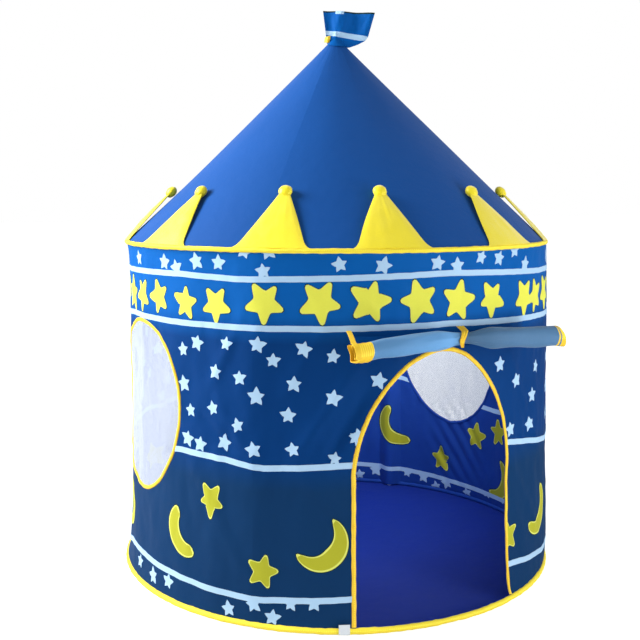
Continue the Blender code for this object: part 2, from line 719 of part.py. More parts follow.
def build_label():
    """A small blank patch that hangs over the hem beside the doorway."""
    out = WALL_MIDDLE + HEM_RADIUS + GAP
    rings = []
    for across in (-LABEL_WIDTH / 2, LABEL_WIDTH / 2):
        rings.append([Vector((across, -out, LABEL_LIFT)), Vector((across, -out - LABEL, LABEL_LIFT)),
                      Vector((across, -out - LABEL, LABEL_LIFT + LABEL_HEIGHT)),
                      Vector((across, -out, LABEL_LIFT + LABEL_HEIGHT))])
    patch = finish_mesh("label_patch", sweep(rings), "label")
    patch.rotation_euler.z = LABEL_ANGLE


def main():
    clear_scene()
    build_floor()
    build_hoops()
    build_walls()
    build_roof()
    build_legs()
    build_hub()
    build_crown()
    build_door_roll()
    build_door_curtain()
    build_ribbons()
    build_flag()
    build_label()


main()
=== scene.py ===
"""Kids play tent: cloth, print, trims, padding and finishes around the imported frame."""

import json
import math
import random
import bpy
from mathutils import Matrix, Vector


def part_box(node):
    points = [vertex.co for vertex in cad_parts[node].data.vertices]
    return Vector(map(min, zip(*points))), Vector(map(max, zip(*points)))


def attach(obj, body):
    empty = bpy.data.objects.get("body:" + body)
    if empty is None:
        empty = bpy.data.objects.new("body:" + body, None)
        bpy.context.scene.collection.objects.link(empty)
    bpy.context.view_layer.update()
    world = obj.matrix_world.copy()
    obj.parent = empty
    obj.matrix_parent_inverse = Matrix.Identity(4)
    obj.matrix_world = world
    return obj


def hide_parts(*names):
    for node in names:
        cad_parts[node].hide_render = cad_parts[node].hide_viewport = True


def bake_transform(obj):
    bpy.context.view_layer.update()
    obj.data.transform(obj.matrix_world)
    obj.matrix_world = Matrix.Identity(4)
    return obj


bl_info = {
    "name": "Play Tent Dressing",
    "version": (1, 0, 0),
    "blender": (4, 5, 0),
    "location": "View3D > Sidebar > Play Tent",
    "description": "Dresses the play tent's frame with cloth, print, padding and light",
    "category": "Add Mesh",
}

import bmesh
import bpy
from bpy.props import FloatProperty, FloatVectorProperty, IntProperty, PointerProperty
from mathutils import Matrix, Vector, noise

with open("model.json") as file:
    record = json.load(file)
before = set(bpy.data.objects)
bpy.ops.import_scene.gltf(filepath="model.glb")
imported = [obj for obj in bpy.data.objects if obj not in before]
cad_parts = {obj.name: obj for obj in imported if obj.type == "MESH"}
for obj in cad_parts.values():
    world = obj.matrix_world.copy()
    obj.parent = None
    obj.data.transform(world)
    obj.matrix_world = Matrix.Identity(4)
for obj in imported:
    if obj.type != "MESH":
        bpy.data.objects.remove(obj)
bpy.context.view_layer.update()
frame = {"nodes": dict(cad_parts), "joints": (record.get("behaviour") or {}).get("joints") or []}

# Sizes read from the frame
TENT_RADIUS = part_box("wall_back")[1].y
HEM_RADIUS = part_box("base_binding")[1].z / 2
EAVE_HEIGHT = sum(corner.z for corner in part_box("eave_hoop")) / 2
TRIM_RADIUS = (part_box("eave_binding")[1].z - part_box("eave_binding")[0].z) / 2
NECK_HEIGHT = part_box("roof_gore_front")[1].z
LEG_RADIUS = (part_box("wall_rod_front_right")[0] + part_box("wall_rod_front_right")[1]).xy.length / 2
JOINTS = {joint["name"]: joint for joint in frame["joints"]}

# Sizes that the cloth shares with the frame's pieces
CLOTH = 0.0015
GAP = 0.0003
WALL_MIDDLE = TENT_RADIUS - CLOTH / 2
LEG_TURNS = [math.radians(turn) for turn in (-135, -45, 45, 135)]
PANELS = {"left": -135, "front": -45, "right": 45, "back": 135}
PANEL_SPAN = math.radians(90)
DOOR_HALF_WIDTH = 0.200
DOOR_HEIGHT = 0.576
DOOR_SPRING_HEIGHT = 0.315
DOOR_ARCH_POWER = 1.8
WINDOW_HALF_WIDTH = 0.172
WINDOW_SILL = 0.222
WINDOW_HEIGHT = 0.387
WINDOW_WIDEST_SHARE = 0.55
WINDOW_TOP_POWER = 2.1
WINDOW_FOOT_POWER = 1.85
WINDOWS = {"left": math.radians(-86), "right": math.radians(112)}

# The photograph's camera, and its picture in pixels
FRAME_PIXELS = 640
FOCAL_PIXELS = 957
AXIS_COLUMN = 335.5
HORIZON_ROW = 195.5
SENSOR_WIDTH = 36.0
CAMERA_TURN = math.radians(-26)
CAMERA_DISTANCE = 2.45
CAMERA_HEIGHT = 0.895
CAMERA_SHIFT = -0.15
CAMERA_YAW = math.atan((AXIS_COLUMN - FRAME_PIXELS / 2) / FOCAL_PIXELS)
CENTRE_ROW = FRAME_PIXELS / 2 + CAMERA_SHIFT * FRAME_PIXELS
CAMERA_PITCH = math.atan((CENTRE_ROW - HORIZON_ROW) / FOCAL_PIXELS)

# How the wall cloth sits between its hoops: share of the hollow's depth at turns in degrees
HOLLOW_SHARES = {
    -180: 0.45, -160: 0.7, -142: 0.5, -135: 0.25, -116: 1.0, -77: 1.0, -60: 0.75, -51: 0.5, -45: 0.0,
    -39: 0.55, -30: 0.9, -20: 1.1, 0: 0.9, 22: 1.1, 33: 0.8, 39: 0.45, 45: 0.0, 51: -0.1, 64: -0.6,
    90: 0.5, 112: 0.9, 128: 0.5, 135: 0.15, 142: 0.5, 158: 0.8,
}

# Folds that the photograph shows on the near wall: start, end, height in metres and half width
FOLD_PIXELS = (
    ((354, 372), (302, 450), 0.0080, 0.017), ((322, 336), (286, 392), 0.0036, 0.014),
    ((366, 398), (330, 456), -0.0060, 0.013), ((232, 336), (212, 380), 0.0046, 0.013),
    ((216, 400), (246, 452), 0.0036, 0.013), ((200, 420), (226, 448), -0.0032, 0.010),
    ((300, 478), (346, 520), 0.0060, 0.018), ((278, 560), (340, 590), 0.0032, 0.014),
    ((196, 474), (236, 560), 0.0036, 0.018), ((170, 560), (206, 590), 0.0030, 0.012),
    ((246, 252), (286, 274), 0.0030, 0.010), ((344, 284), (384, 320), 0.0036, 0.014),
    ((300, 282), (330, 316), 0.0030, 0.012), ((430, 286), (452, 318), 0.0030, 0.012),
    ((512, 352), (538, 440), 0.0032, 0.012), ((520, 470), (540, 540), 0.0030, 0.012),
)

# Printed lines: height over the floor, and the photographed course of each as pixels
LINE_HEIGHTS = {"upper": 0.721, "band": 0.613, "middle": 0.319, "lower": 0.048}
LINE_WIDTH = 0.0125
LINE_PIXELS = {
    "upper": ((128, 268), (180, 274), (232, 279), (339, 279), (452, 273), (540, 270)),
    "band": ((133, 313), (190, 324), (246, 328), (339, 330), (452, 324), (543, 314)),
    "middle": ((180, 451), (222, 460), (263, 469), (359, 467), (513, 443), (546, 436)),
    "lower": ((133, 543), (145, 558), (161, 569), (258, 600), (351, 601), (513, 565), (542, 548)),
}
LINE_BLEND_TURN = math.radians(16)
BACK_TILT = 0.034
LINE_TILTS = {"middle": 1.0, "lower": 0.30}
BACK_TILT_SHARES = ((58, 0.0), (92, -1.0), (150, 1.0), (188, 0.0))

# Printed figures that the photograph shows, as pixels; the rest of the wall follows a seeded pattern
BAND_STAR_PIXELS = (
    (139, 294, 30, 0.0405), (156, 297, 19, 0.0410), (183, 303, -5, 0.0405), (214, 305, 38, 0.0415),
    (264, 303, 34, 0.0450), (320, 303, 42, 0.0480), (372, 302, -14, 0.0470), (421, 301, 17, 0.0440),
    (461, 301, -11, 0.0430), (495, 299, 35, 0.0415), (527, 297, 36, 0.0410), (537, 296, 20, 0.0410),
)
LOW_STAR_PIXELS = ((209, 500, 34), (262, 572, -14), (513, 537, 8))
LOW_MOON_PIXELS = (
    (182, 531, -150, 0.0585, 0.66, 92, 0.62), (320, 545, -46, 0.0590, 0.70, 108, 0.20),
    (538, 507, -50, 0.0620, 0.66, 104, 0.35), (128.5, 499, -10, 0.0580, 0.56, 98, 0.35),
)
INNER_STAR_PIXELS = ((443, 458, 0), (479, 436, 6), (501, 433, -4))
INNER_MOON_PIXELS = ((401, 422, -149, 0.0670, 0.56, 92, 0.55), (498, 477, -28, 0.060, 0.60, 96, 0.30))
PALE_STAR_PIXELS = (
    (180, 350), (194, 343), (225, 344), (257, 345), (272, 361), (303, 350), (333, 358), (214, 372),
    (239, 378), (293, 385), (256, 397), (333, 399), (180, 384), (187, 411), (211, 409), (287, 417),
    (237, 426), (184, 439), (197, 445), (222, 443), (253, 450), (292, 451), (335, 461), (357, 439),
    (380, 382), (360, 438), (504, 365), (538, 366), (520, 381), (535, 395), (533, 424), (515, 430),
    (137, 258), (162, 262), (174, 268), (195, 261), (217, 263), (244, 251), (268, 251), (263, 271),
    (340, 265), (384, 266), (439, 263), (459, 266), (483, 257), (501, 258), (516, 250), (527, 264),
    (138, 561), (151, 576), (166, 582), (228, 609), (253, 604), (290, 605), (314, 605), (272, 618),
)
INNER_PALE_STARS = ((376, 0.014), (408, 0.008), (424, 0.010), (448, 0.009), (437, 0.030), (468, 0.020))
INNER_STAR_ROW = 475
DOORWAY_COLUMNS = (352, 520)

BAND_STAR_RADIUS = 0.043
# How much larger the painted shadow round a star is than the star
SHADOW_GROW = 1.05
BAND_STAR_PITCH = math.radians(9.2)
BAND_STAR_SHIFT = 0.004
LOW_STAR_RADIUS = 0.038
MOON_RADIUS = 0.062
# An unseen moon's thickness share, sweep in degrees and bluntness, and its tilts
MOON_SHAPE = (0.62, 100, 0.40)
MOON_TILTS = (-0.9, 3.4, -2.6)
PALE_STAR_RADIUS = 0.0175
PALE_STAR_GROWTH = (0.88, 1.15)
# The wall out of sight: its turns, and the heights at which the doorway shows the far wall
UNSEEN_TURNS = (math.radians(48), math.radians(-122) + math.tau)
DOORWAY_SIGHT = (0.08, 0.30)
# Large figures there: count, spread within a pitch, heights, room, first seed, whether moons alternate
UNSEEN_FIGURES = ((11, (0.25, 0.75), (0.13, 0.25), 0.105, 0, True),
                  (9, (0.1, 0.9), (0.09, 0.27), 0.10, 50, False))
# Small stars there: lowest, highest, count and room
UNSEEN_PALE = ((LINE_HEIGHTS["upper"] + 0.02, EAVE_HEIGHT - 0.012, 22, 0.040),
               (LINE_HEIGHTS["middle"] + 0.025, LINE_HEIGHTS["band"] - 0.03, 96, 0.052),
               (0.022, 0.044, 20, 0.045))


def tint(red, green, blue):
    """A colour as a paint chart gives it, 0 to 255, made into Blender's linear values."""
    shares = [value / 255 for value in (red, green, blue)]
    return tuple(share / 12.92 if share <= 0.04045 else ((share + 0.055) / 1.055) ** 2.4
                 for share in shares)


def length_property(name, description, default, lowest=0.0):
    return FloatProperty(
        name=name, description=description, default=default, min=lowest, max=2.0,
        unit="LENGTH", subtype="DISTANCE", precision=4)


def colour_property(name, description, default):
    return FloatVectorProperty(
        name=name, description=description, default=default, size=3, min=0.0, max=1.0,
        subtype="COLOR")


class TentSizes(bpy.types.PropertyGroup):
    cell: length_property("Cloth cell", "Size of the wall cloth's mesh cells", 0.0075, 0.003)
    hollow: length_property("Hollow", "How far the wall hangs in between hoops and legs", 0.013)
    fold: length_property("Fold", "Height of the wall's soft upright folds", 0.0044)
    crumple: length_property("Crumple", "Height of the wall's small creases", 0.0016)
    sleeve: length_property("Sleeve", "Half width of the cloth sleeve over a leg", 0.034)
    ink_lift: length_property("Ink lift", "How far the print stands on the cloth", 0.0006)
    pucker: length_property("Pucker pitch", "Length of one pucker along a sewn tube", 0.011)
    roof_sag: length_property("Roof sag", "How far the roof sinks between its rods", 0.006)
    pad_height: length_property("Pad height", "Thickness of a padded crown point", 0.0085)
    seed: IntProperty(name="Seed", description="Seed of the unseen print", default=11, min=0)


class TentColours(bpy.types.PropertyGroup):
    sky: colour_property("Upper blue", "Printed cloth above the band", tint(5, 99, 184))
    mid: colour_property("Middle blue", "Printed cloth beside the window", tint(0, 62, 128))
    navy: colour_property("Lower blue", "Printed cloth at the foot", tint(12, 58, 104))
    inner: colour_property("Inner blue", "The wall cloth's back", tint(30, 74, 168))
    roof: colour_property("Roof blue", "Plain roof cloth", tint(12, 84, 164))
    floor: colour_property("Floor blue", "Coated floor cloth", tint(14, 46, 144))
    lining: colour_property("Roll blue", "Back of the door curtain", tint(92, 148, 198))
    yellow: colour_property("Satin yellow", "Crown points", tint(252, 232, 20))
    tape: colour_property("Tape yellow", "Sewn bindings and ribbons", tint(248, 214, 66))
    hem: colour_property("Hem yellow", "Sewn tubes at hem and eave", tint(250, 230, 70))
    ink_yellow: colour_property("Yellow ink", "Printed stars and moons", tint(234, 234, 84))
    # Painted highlight on the rims of the printed stars and moons
    painted_rim_highlight: colour_property("Ink rim", "Light rim of stars and moons", tint(226, 232, 112))
    ink_pale: colour_property("Pale ink", "Printed lines and small stars", tint(176, 210, 238))
    net: colour_property("Net", "Window net", tint(224, 230, 238))
    label: colour_property("Label", "Blank patch at the hem", tint(226, 232, 236))


# Directions, projection and outlines


def around(turn, radius, height):
    return Vector((radius * math.sin(turn), -radius * math.cos(turn), height))


CAMERA_PLACE = around(CAMERA_TURN, CAMERA_DISTANCE, CAMERA_HEIGHT)


def smooth_step(low, high, value):
    share = min(max((value - low) / (high - low), 0.0), 1.0)
    return share * share * (3 - 2 * share)


def on_table(table, value):
    """The value between two rows of a table of places and values."""
    for (low, first), (high, second) in zip(table, table[1:]):
        if low <= value <= high:
            return first + (second - first) * (value - low) / (high - low)
    return 0.0


def pixel_on_wall(column, row, far=False):
    """The turn and height where a pixel's ray meets the wall, on its near or its far side."""
    heading = CAMERA_TURN + CAMERA_YAW
    level = Vector((-math.sin(heading), math.cos(heading), 0))
    right = Vector((math.cos(heading), math.sin(heading), 0))
    upward = Vector((0, 0, 1))
    ahead = level * math.cos(CAMERA_PITCH) - upward * math.sin(CAMERA_PITCH)
    above = level * math.sin(CAMERA_PITCH) + upward * math.cos(CAMERA_PITCH)
    across = (column - FRAME_PIXELS / 2) / FOCAL_PIXELS
    rise = (CENTRE_ROW - row) / FOCAL_PIXELS
    ray = ahead + right * across + above * rise
    start = CAMERA_PLACE.xy
    flat = ray.xy.dot(ray.xy)
    half = start.dot(ray.xy)
    room = half * half - flat * (start.dot(start) - TENT_RADIUS ** 2)
    root = math.sqrt(max(room, 0.0))
    spot = CAMERA_PLACE + ray * ((-half + (root if far else -root)) / flat)
    return math.atan2(spot.x, -spot.y), spot.z


def turn_gap(turn, other):
    """Signed turn from one direction to another, by the short way round."""
    return (turn - other + math.pi) % math.tau - math.pi


def leg_gap(turn):
    return min(abs(turn_gap(turn, place)) for place in LEG_TURNS)


def superellipse(turn, power):
    return math.copysign(abs(turn) ** (2 / power), turn)


def door_outline(count=96):
    """Doorway edge as (arc length, height), from the right foot over the arch to the left."""
    foot = 2 * HEM_RADIUS + GAP
    rise = DOOR_HEIGHT - DOOR_SPRING_HEIGHT
    side_steps = count // 4
    side = [(DOOR_HALF_WIDTH, foot + (DOOR_SPRING_HEIGHT - foot) * (step / side_steps))
            for step in range(side_steps)]
    arch = []
    for step in range(count + 1):
        turn = math.pi * step / count
        arch.append((DOOR_HALF_WIDTH * superellipse(math.cos(turn), DOOR_ARCH_POWER),
                     DOOR_SPRING_HEIGHT + rise * superellipse(math.sin(turn), DOOR_ARCH_POWER)))
    return side + arch + [(-across, up) for across, up in reversed(side)]


def window_outline(count=120):
    """Window edge as (arc length, height) round its widest height."""
    widest = WINDOW_SILL + WINDOW_HEIGHT * WINDOW_WIDEST_SHARE
    points = []
    for step in range(count):
        turn = math.tau * step / count
        upper = math.sin(turn) >= 0
        power = WINDOW_TOP_POWER if upper else WINDOW_FOOT_POWER
        reach = WINDOW_SILL + WINDOW_HEIGHT - widest if upper else widest - WINDOW_SILL
        points.append((WINDOW_HALF_WIDTH * superellipse(math.cos(turn), power),
                       widest + reach * superellipse(math.sin(turn), power)))
    return points


def inside_outline(points, across, up):
    """Whether a point lies inside a closed outline, by counting crossings."""
    inside = False
    for (x1, z1), (x2, z2) in zip(points, points[1:] + points[:1]):
        if (z1 > up) != (z2 > up) and across < (x2 - x1) * (up - z1) / (z2 - z1) + x1:
            inside = not inside
    return inside


DOOR_HOLE = [(DOOR_HALF_WIDTH, 0.0)] + door_outline() + [(-DOOR_HALF_WIDTH, 0.0)]
WINDOW = window_outline()
HOLES = [(0.0, DOOR_HOLE)] + [(turn, WINDOW) for turn in WINDOWS.values()]


def in_hole(turn, height):
    for centre, outline in HOLES:
        across = turn_gap(turn, centre) * TENT_RADIUS
        if abs(across) < DOOR_HALF_WIDTH + CLOTH and inside_outline(outline, across, height):
            return True
    return False


# The wall's form


def sizes():
    return bpy.context.scene.tent_sizes


def hollow_table(steps=720, spread=2):
    """The hollow's share at equal turns round the tent, its corners a little softened."""
    known = sorted(HOLLOW_SHARES.items())
    known.append((known[0][0] + 360, known[0][1]))
    rough = [on_table(known, known[0][0] + 360 * step / steps) for step in range(steps)]
    near = range(-spread, spread + 1)
    return [sum(rough[(step + shift) % steps] for shift in near) / len(near) for step in range(steps)]


HOLLOW_TABLE = hollow_table()
SEEN_FOLDS = [(pixel_on_wall(*start), pixel_on_wall(*end), rise, half)
              for start, end, rise, half in FOLD_PIXELS]
# A fold fades from this share of its length past its ends to this share inside them, and it
# stops at this many half widths aside
FOLD_FADE_OUT = 0.35
FOLD_FADE_IN = 0.15
FOLD_REACH = 2.5
# The wall's noise: pace round the tent, pace up it, start and lean
FOLD_NOISE = (4.2, 2.3)
RIPPLE_NOISE = (11, 3.2, 5)
RIPPLE_SHARE = 0.6
SLANT_NOISE = (9, 6, 9, 5)
SLANT_SHARE = 0.7
CRUMPLE_NOISE = (24, 21)
GATHER_NOISE = (38, 1)
GATHER_SHARE = 0.8
GATHER_DEPTH = 0.028
HELD_POWER = 0.4
LEG_FREE_TURN = math.radians(9)
LEG_FOLD_SHARE = 0.35
# Slack cloth in slanting folds on the far wall, seen through the doorway
DRAPE_TURN = pixel_on_wall(459, 452, True)[0]
DRAPE_SPAN = math.radians(15)
DRAPE_RISE = 0.0038
DRAPE_PITCH = 0.0072
DRAPE_SLANT = 0.75
DRAPE_FOOT = (0.02, 0.10)
DRAPE_TOP = (0.20, 0.30)
SLEEVE_TOP = (0.725, 0.75)
SLEEVE_ROOM = 0.0072
SLEEVE_POWER = 1.3
SLEEVE_FOOT = 0.006
SLEEVE_DROP = 0.03
SLEEVE_CLOTH = 0.0004
SLEEVE_LIFT = 0.0008


def hollow_share(turn):
    place = (turn / math.tau + 0.5) % 1 * len(HOLLOW_TABLE)
    low = int(place)
    first = HOLLOW_TABLE[low % len(HOLLOW_TABLE)]
    second = HOLLOW_TABLE[(low + 1) % len(HOLLOW_TABLE)]
    return first + (second - first) * (place - low)


def fold_lift(turn, height):
    """The lift that the photographed folds give a place on the wall."""
    total = 0.0
    for (turn1, low), (turn2, high), rise, half in SEEN_FOLDS:
        along = Vector(((turn2 - turn1) * TENT_RADIUS, high - low))
        place = Vector(((turn - turn1) * TENT_RADIUS, height - low))
        share = place.dot(along) / along.length_squared
        away = (place - along * share).length / half
        if -FOLD_FADE_OUT < share < 1 + FOLD_FADE_OUT and away <= FOLD_REACH:
            fade = smooth_step(-FOLD_FADE_OUT, FOLD_FADE_IN, share)
            fade *= 1 - smooth_step(1 - FOLD_FADE_IN, 1 + FOLD_FADE_OUT, share)
            total += rise * fade * math.exp(-away * away)
    return total


def wall_noise(turn, height, pace, rise, start=0, lean=0):
    return noise.noise(Vector((math.sin(turn) * pace + height * lean, math.cos(turn) * pace,
                               height * rise + start)))


def wall_offset(turn, height):
    """How far the wall's middle skin stands out from its round, at a turn and height."""
    group = sizes()
    turn = turn_gap(turn, 0)
    low = 2 * HEM_RADIUS
    high = EAVE_HEIGHT - TRIM_RADIUS
    share = min(max((height - low) / (high - low), 0.0), 1.0)
    held = (4 * share * (1 - share)) ** HELD_POWER
    folds = wall_noise(turn, height, *FOLD_NOISE) + RIPPLE_SHARE * wall_noise(turn, height, *RIPPLE_NOISE)
    folds += SLANT_SHARE * wall_noise(turn, height, *SLANT_NOISE)
    free = smooth_step(0.0, LEG_FREE_TURN, leg_gap(turn))
    folds = group.fold * folds * (LEG_FOLD_SHARE + (1 - LEG_FOLD_SHARE) * free) * held
    if abs(turn - CAMERA_TURN) < math.pi / 2:
        folds += fold_lift(turn, height) * held
    gather = 0.0
    for edge in (low, high):
        gather += math.exp(-abs(height - edge) / GATHER_DEPTH) * wall_noise(turn, edge, *GATHER_NOISE)
    gather = GATHER_SHARE * gather * min(1.0, 40 * share * (1 - share))
    drape = 0.0
    slack = turn_gap(turn, DRAPE_TURN)
    if abs(slack) < DRAPE_SPAN:
        fade = math.cos(slack / DRAPE_SPAN * math.pi / 2) ** 2
        fade *= smooth_step(*DRAPE_FOOT, height) * (1 - smooth_step(*DRAPE_TOP, height))
        drape = DRAPE_RISE * fade * math.sin((slack * TENT_RADIUS - height * DRAPE_SLANT) / DRAPE_PITCH)
    crumple = wall_noise(turn, height, *CRUMPLE_NOISE) * held
    return -group.hollow * hollow_share(turn) * held + folds + drape + group.crumple * (crumple + gather)


def sleeve_depth(turn, height):
    """How far a leg's sleeve stands in from the wall, at a turn and height."""
    half = sizes().sleeve / TENT_RADIUS
    leg = leg_gap(turn)
    if leg >= half:
        return 0.0
    round_share = math.cos(leg / half * math.pi / 2) ** SLEEVE_POWER
    return (WALL_MIDDLE - LEG_RADIUS + SLEEVE_ROOM) * round_share * (1 - smooth_step(*SLEEVE_TOP, height))


def wall_spot(turn, height, lift=0.0):
    return around(turn, WALL_MIDDLE + wall_offset(turn, height) + lift, height)


def inner_spot(turn, height, lift=0.0):
    """A point on the wall's inside, or on the leg sleeve that covers it there."""
    depth = max(sleeve_depth(turn, height) - CLOTH / 2 + SLEEVE_LIFT, 0.0)
    return around(turn, WALL_MIDDLE + wall_offset(turn, height) - CLOTH / 2 - depth - lift, height)


# Mesh collecting

SHARP_ANGLE = math.radians(50)


def add_object(name, data):
    made = bpy.data.objects.new(name, data)
    bpy.context.collection.objects.link(made)
    return made


def grid_faces(rows, columns, turned=False, ring=False, loop=False):
    """Faces of a grid of points; a ring closes each row on itself, and a loop the rows."""
    width = columns if ring else columns + 1
    faces = []
    for row in range(rows):
        low = row * width
        high = 0 if loop and row == rows - 1 else low + width
        for column in range(columns):
            after = (column + 1) % width
            face = [low + column, low + after, high + after, high + column]
            faces.append(face[:1] + face[:0:-1] if turned else face)
    return faces


class Shell:
    """Collects closed sheets of cloth, tape or ink into one mesh with several finishes."""

    def __init__(self):
        self.points = []
        self.faces = []
        self.finishes = []
        self.places = []

    def add(self, outer, inner, faces, finish, places, back=None):
        """Close two equal skins along the edge that the faces leave open."""
        base = len(self.points)
        count = len(outer)
        self.points += [*outer, *inner]
        self.places += [*places, *places]
        inks = finish if isinstance(finish, list) else [finish] * len(faces)
        owners = {}
        for face, ink in zip(faces, inks):
            self.faces.append([base + corner for corner in face])
            self.faces.append([base + count + corner for corner in reversed(face)])
            self.finishes += [ink, ink if back is None else back]
            for edge in zip(face, face[1:] + face[:1]):
                owners[edge] = ink
        for (first, second), ink in owners.items():
            if (second, first) not in owners:
                self.faces.append([base + second, base + first,
                                   base + count + first, base + count + second])
                self.finishes.append(ink)
        return self

    def grid(self, rows, columns, place, finish=0, turned=False):
        """Add a grid; place gives each point's outer and inner skin and its mark on the cloth."""
        spots = [place(row, column) for row in range(rows + 1) for column in range(columns + 1)]
        outer, inner, marks = zip(*spots)
        return self.add(outer, inner, grid_faces(rows, columns, turned), finish, marks)

    def tube(self, rings, closed, finish, places=None):
        """Add rings of points as a tube, capped at its ends unless it closes on itself."""
        base = len(self.points)
        width = len(rings[0])
        for index, ring in enumerate(rings):
            self.points += ring
            self.places += places[index] if places else [(0.0, 0.0)] * width
        last = len(rings) - 1
        for face in grid_faces(last + closed, width, ring=True, loop=closed):
            self.faces.append([base + corner for corner in face])
            self.finishes.append(finish[face[0] % width])
        if not closed:
            self.faces.append([base + side for side in reversed(range(width))])
            self.faces.append([base + last * width + side for side in range(width)])
            self.finishes += [finish[-1]] * 2
        return self

    def build(self, name, looks, flip=True):
        """Make the object, its faces turned outward together where flip is set."""
        mesh = bpy.data.meshes.new(name)
        mesh.from_pydata([tuple(point) for point in self.points], [], self.faces)
        for look in looks:
            mesh.materials.append(finishes()[look])
        mesh.polygons.foreach_set("material_index", self.finishes)
        layer = mesh.uv_layers.new(name="cloth")
        for loop in mesh.loops:
            layer.data[loop.index].uv = self.places[loop.vertex_index]
        bm = bmesh.new()
        bm.from_mesh(mesh)
        loose = [vert for vert in bm.verts if not vert.link_faces]
        bmesh.ops.delete(bm, geom=loose, context="VERTS")
        if flip:
            bmesh.ops.recalc_face_normals(bm, faces=bm.faces)
        bm.to_mesh(mesh)
        bm.free()
        mesh.update()
        mesh.shade_smooth()
        mesh.set_sharp_from_angle(angle=SHARP_ANGLE)
        return add_object(name, mesh)


# Materials

# Depths and pitches of the finishes in metres
CREASE_DEPTH = 0.004
THREAD_DEPTH = 0.0003
CLOTH_WEAVE = 0.0011
TAPE_DEPTH = 0.0004
RIB_PITCH = 0.0016
STITCH_PITCH = 0.0046
# The stitched line's place across a tape and its half width, and a place without it, as shares
STITCH_LINE = (0.30, 0.025)
PLAIN_LINE = 0.6
NET_PITCH = 0.0018
# Scales of the cloth's slow clouds, its creases and its fine specks, and the specks' shade
CLOUD_SCALE = 3.4
CREASE_SCALE = 34.0
SPECK_SCALE = 420.0
SPECK_SHADE = (0.93, 0.93, 0.94, 1)


def feed(node, entries):
    """Set a node's inputs to values, or link them to sockets."""
    for name, value in entries.items():
        if isinstance(value, bpy.types.NodeSocket):
            node.id_data.links.new(value, node.inputs[name])
        else:
            node.inputs[name].default_value = value


def add_node(tree, kind, entries, output=0, **settings):
    """Add a node and hand back one of its outputs."""
    node = tree.nodes.new("ShaderNode" + kind)
    for name, value in settings.items():
        setattr(node, name, value)
    feed(node, entries)
    return node.outputs[output]


def node_set(name):
    """A new material with its tree, its shader and the outputs of its texture coordinates."""
    made = bpy.data.materials.new(name)
    made.use_nodes = True
    tree = made.node_tree
    return made, tree, tree.nodes["Principled BSDF"], tree.nodes.new("ShaderNodeTexCoord").outputs


def mix_colours(tree, share, first, second, blend="MIX"):
    return add_node(tree, "Mix", {0: share, 6: first, 7: second}, 2, data_type="RGBA", blend_type=blend)


def mix_shaders(tree, share, first, second):
    return add_node(tree, "MixShader", {0: share, 1: first, 2: second})


def add_noise(tree, vector, scale, detail=3.0, roughness=0.5):
    return add_node(tree, "TexNoise", {"Scale": scale, "Detail": detail, "Roughness": roughness,
                                       "Vector": vector}, "Fac")


def add_wave(tree, vector, pitch, direction):
    return add_node(tree, "TexWave", {"Scale": math.pi / 10 / pitch, "Vector": vector}, "Fac",
                    wave_type="BANDS", bands_direction=direction)


def add_maths(tree, operation, *values):
    return add_node(tree, "Math", dict(enumerate(values)), operation=operation)


def add_bump(tree, height, strength, distance, **more):
    return add_node(tree, "Bump", {"Strength": strength, "Distance": distance, "Height": height, **more})


def scaled(colour, *shares):
    """A colour, with its fourth value, times one share or a share for each of its parts."""
    return (*[min(value * share, 1.0) for value, share in zip(colour, shares * 3)], 1)


def cloth_material(name, colour, weave=CLOTH_WEAVE, rough=0.62, sheen=0.04, glow=0.0, vary=0.16,
                   crease=0.3, zones=None, gloss=0.12, along="Object"):
    """Woven cloth: slow colour variation, a weave, soft creases, sheen and some light through it."""
    made, tree, shader, place = node_set(name)
    solid = place["Object"]
    uv = place["UV"]
    base = (*colour, 1)
    if zones:
        axis = "Z" if along == "Object" else "X"
        ramp = tree.nodes.new("ShaderNodeValToRGB")
        feed(ramp, {0: add_node(tree, "SeparateXYZ", {0: place[along]}, axis)})
        stops = ramp.color_ramp.elements
        for stop, (spot, zone) in zip(stops, (zones[0], zones[-1])):
            stop.position = spot
            stop.color = zone
        for spot, zone in zones[1:-1]:
            stops.new(spot).color = zone
        base = ramp.outputs["Color"]
    dark = mix_colours(tree, 1.0, base, scaled((1, 1, 1), 1 - vary), "MULTIPLY")
    shade = mix_colours(tree, add_noise(tree, solid, CLOUD_SCALE, 2.0), dark, base)
    fine = mix_colours(tree, 1.0, shade, SPECK_SHADE, "MULTIPLY")
    final = mix_colours(tree, add_noise(tree, solid, SPECK_SCALE, 1.0), fine, shade)
    threads = add_maths(tree, "MULTIPLY", *[add_wave(tree, uv, weave, way) for way in "XY"])
    normal = add_bump(tree, add_noise(tree, solid, CREASE_SCALE, 3.0, 0.55), crease, CREASE_DEPTH)
    feed(shader, {"Base Color": final, "Roughness": rough, "Sheen Weight": sheen,
                  "Sheen Roughness": 0.45, "Specular IOR Level": gloss,
                  "Normal": add_bump(tree, threads, 0.25, THREAD_DEPTH, Normal=normal)})
    if glow:
        through = add_node(tree, "BsdfTranslucent", {"Color": final})
        feed(tree.nodes["Material Output"],
             {"Surface": mix_shaders(tree, glow, shader.outputs[0], through)})
    return made


def ink_material(name, colour, zones=None):
    """Printed ink: flat, a little uneven, with the weave showing through."""
    return cloth_material(name, colour, rough=0.6, sheen=0.02, vary=0.10, crease=0.15, zones=zones)


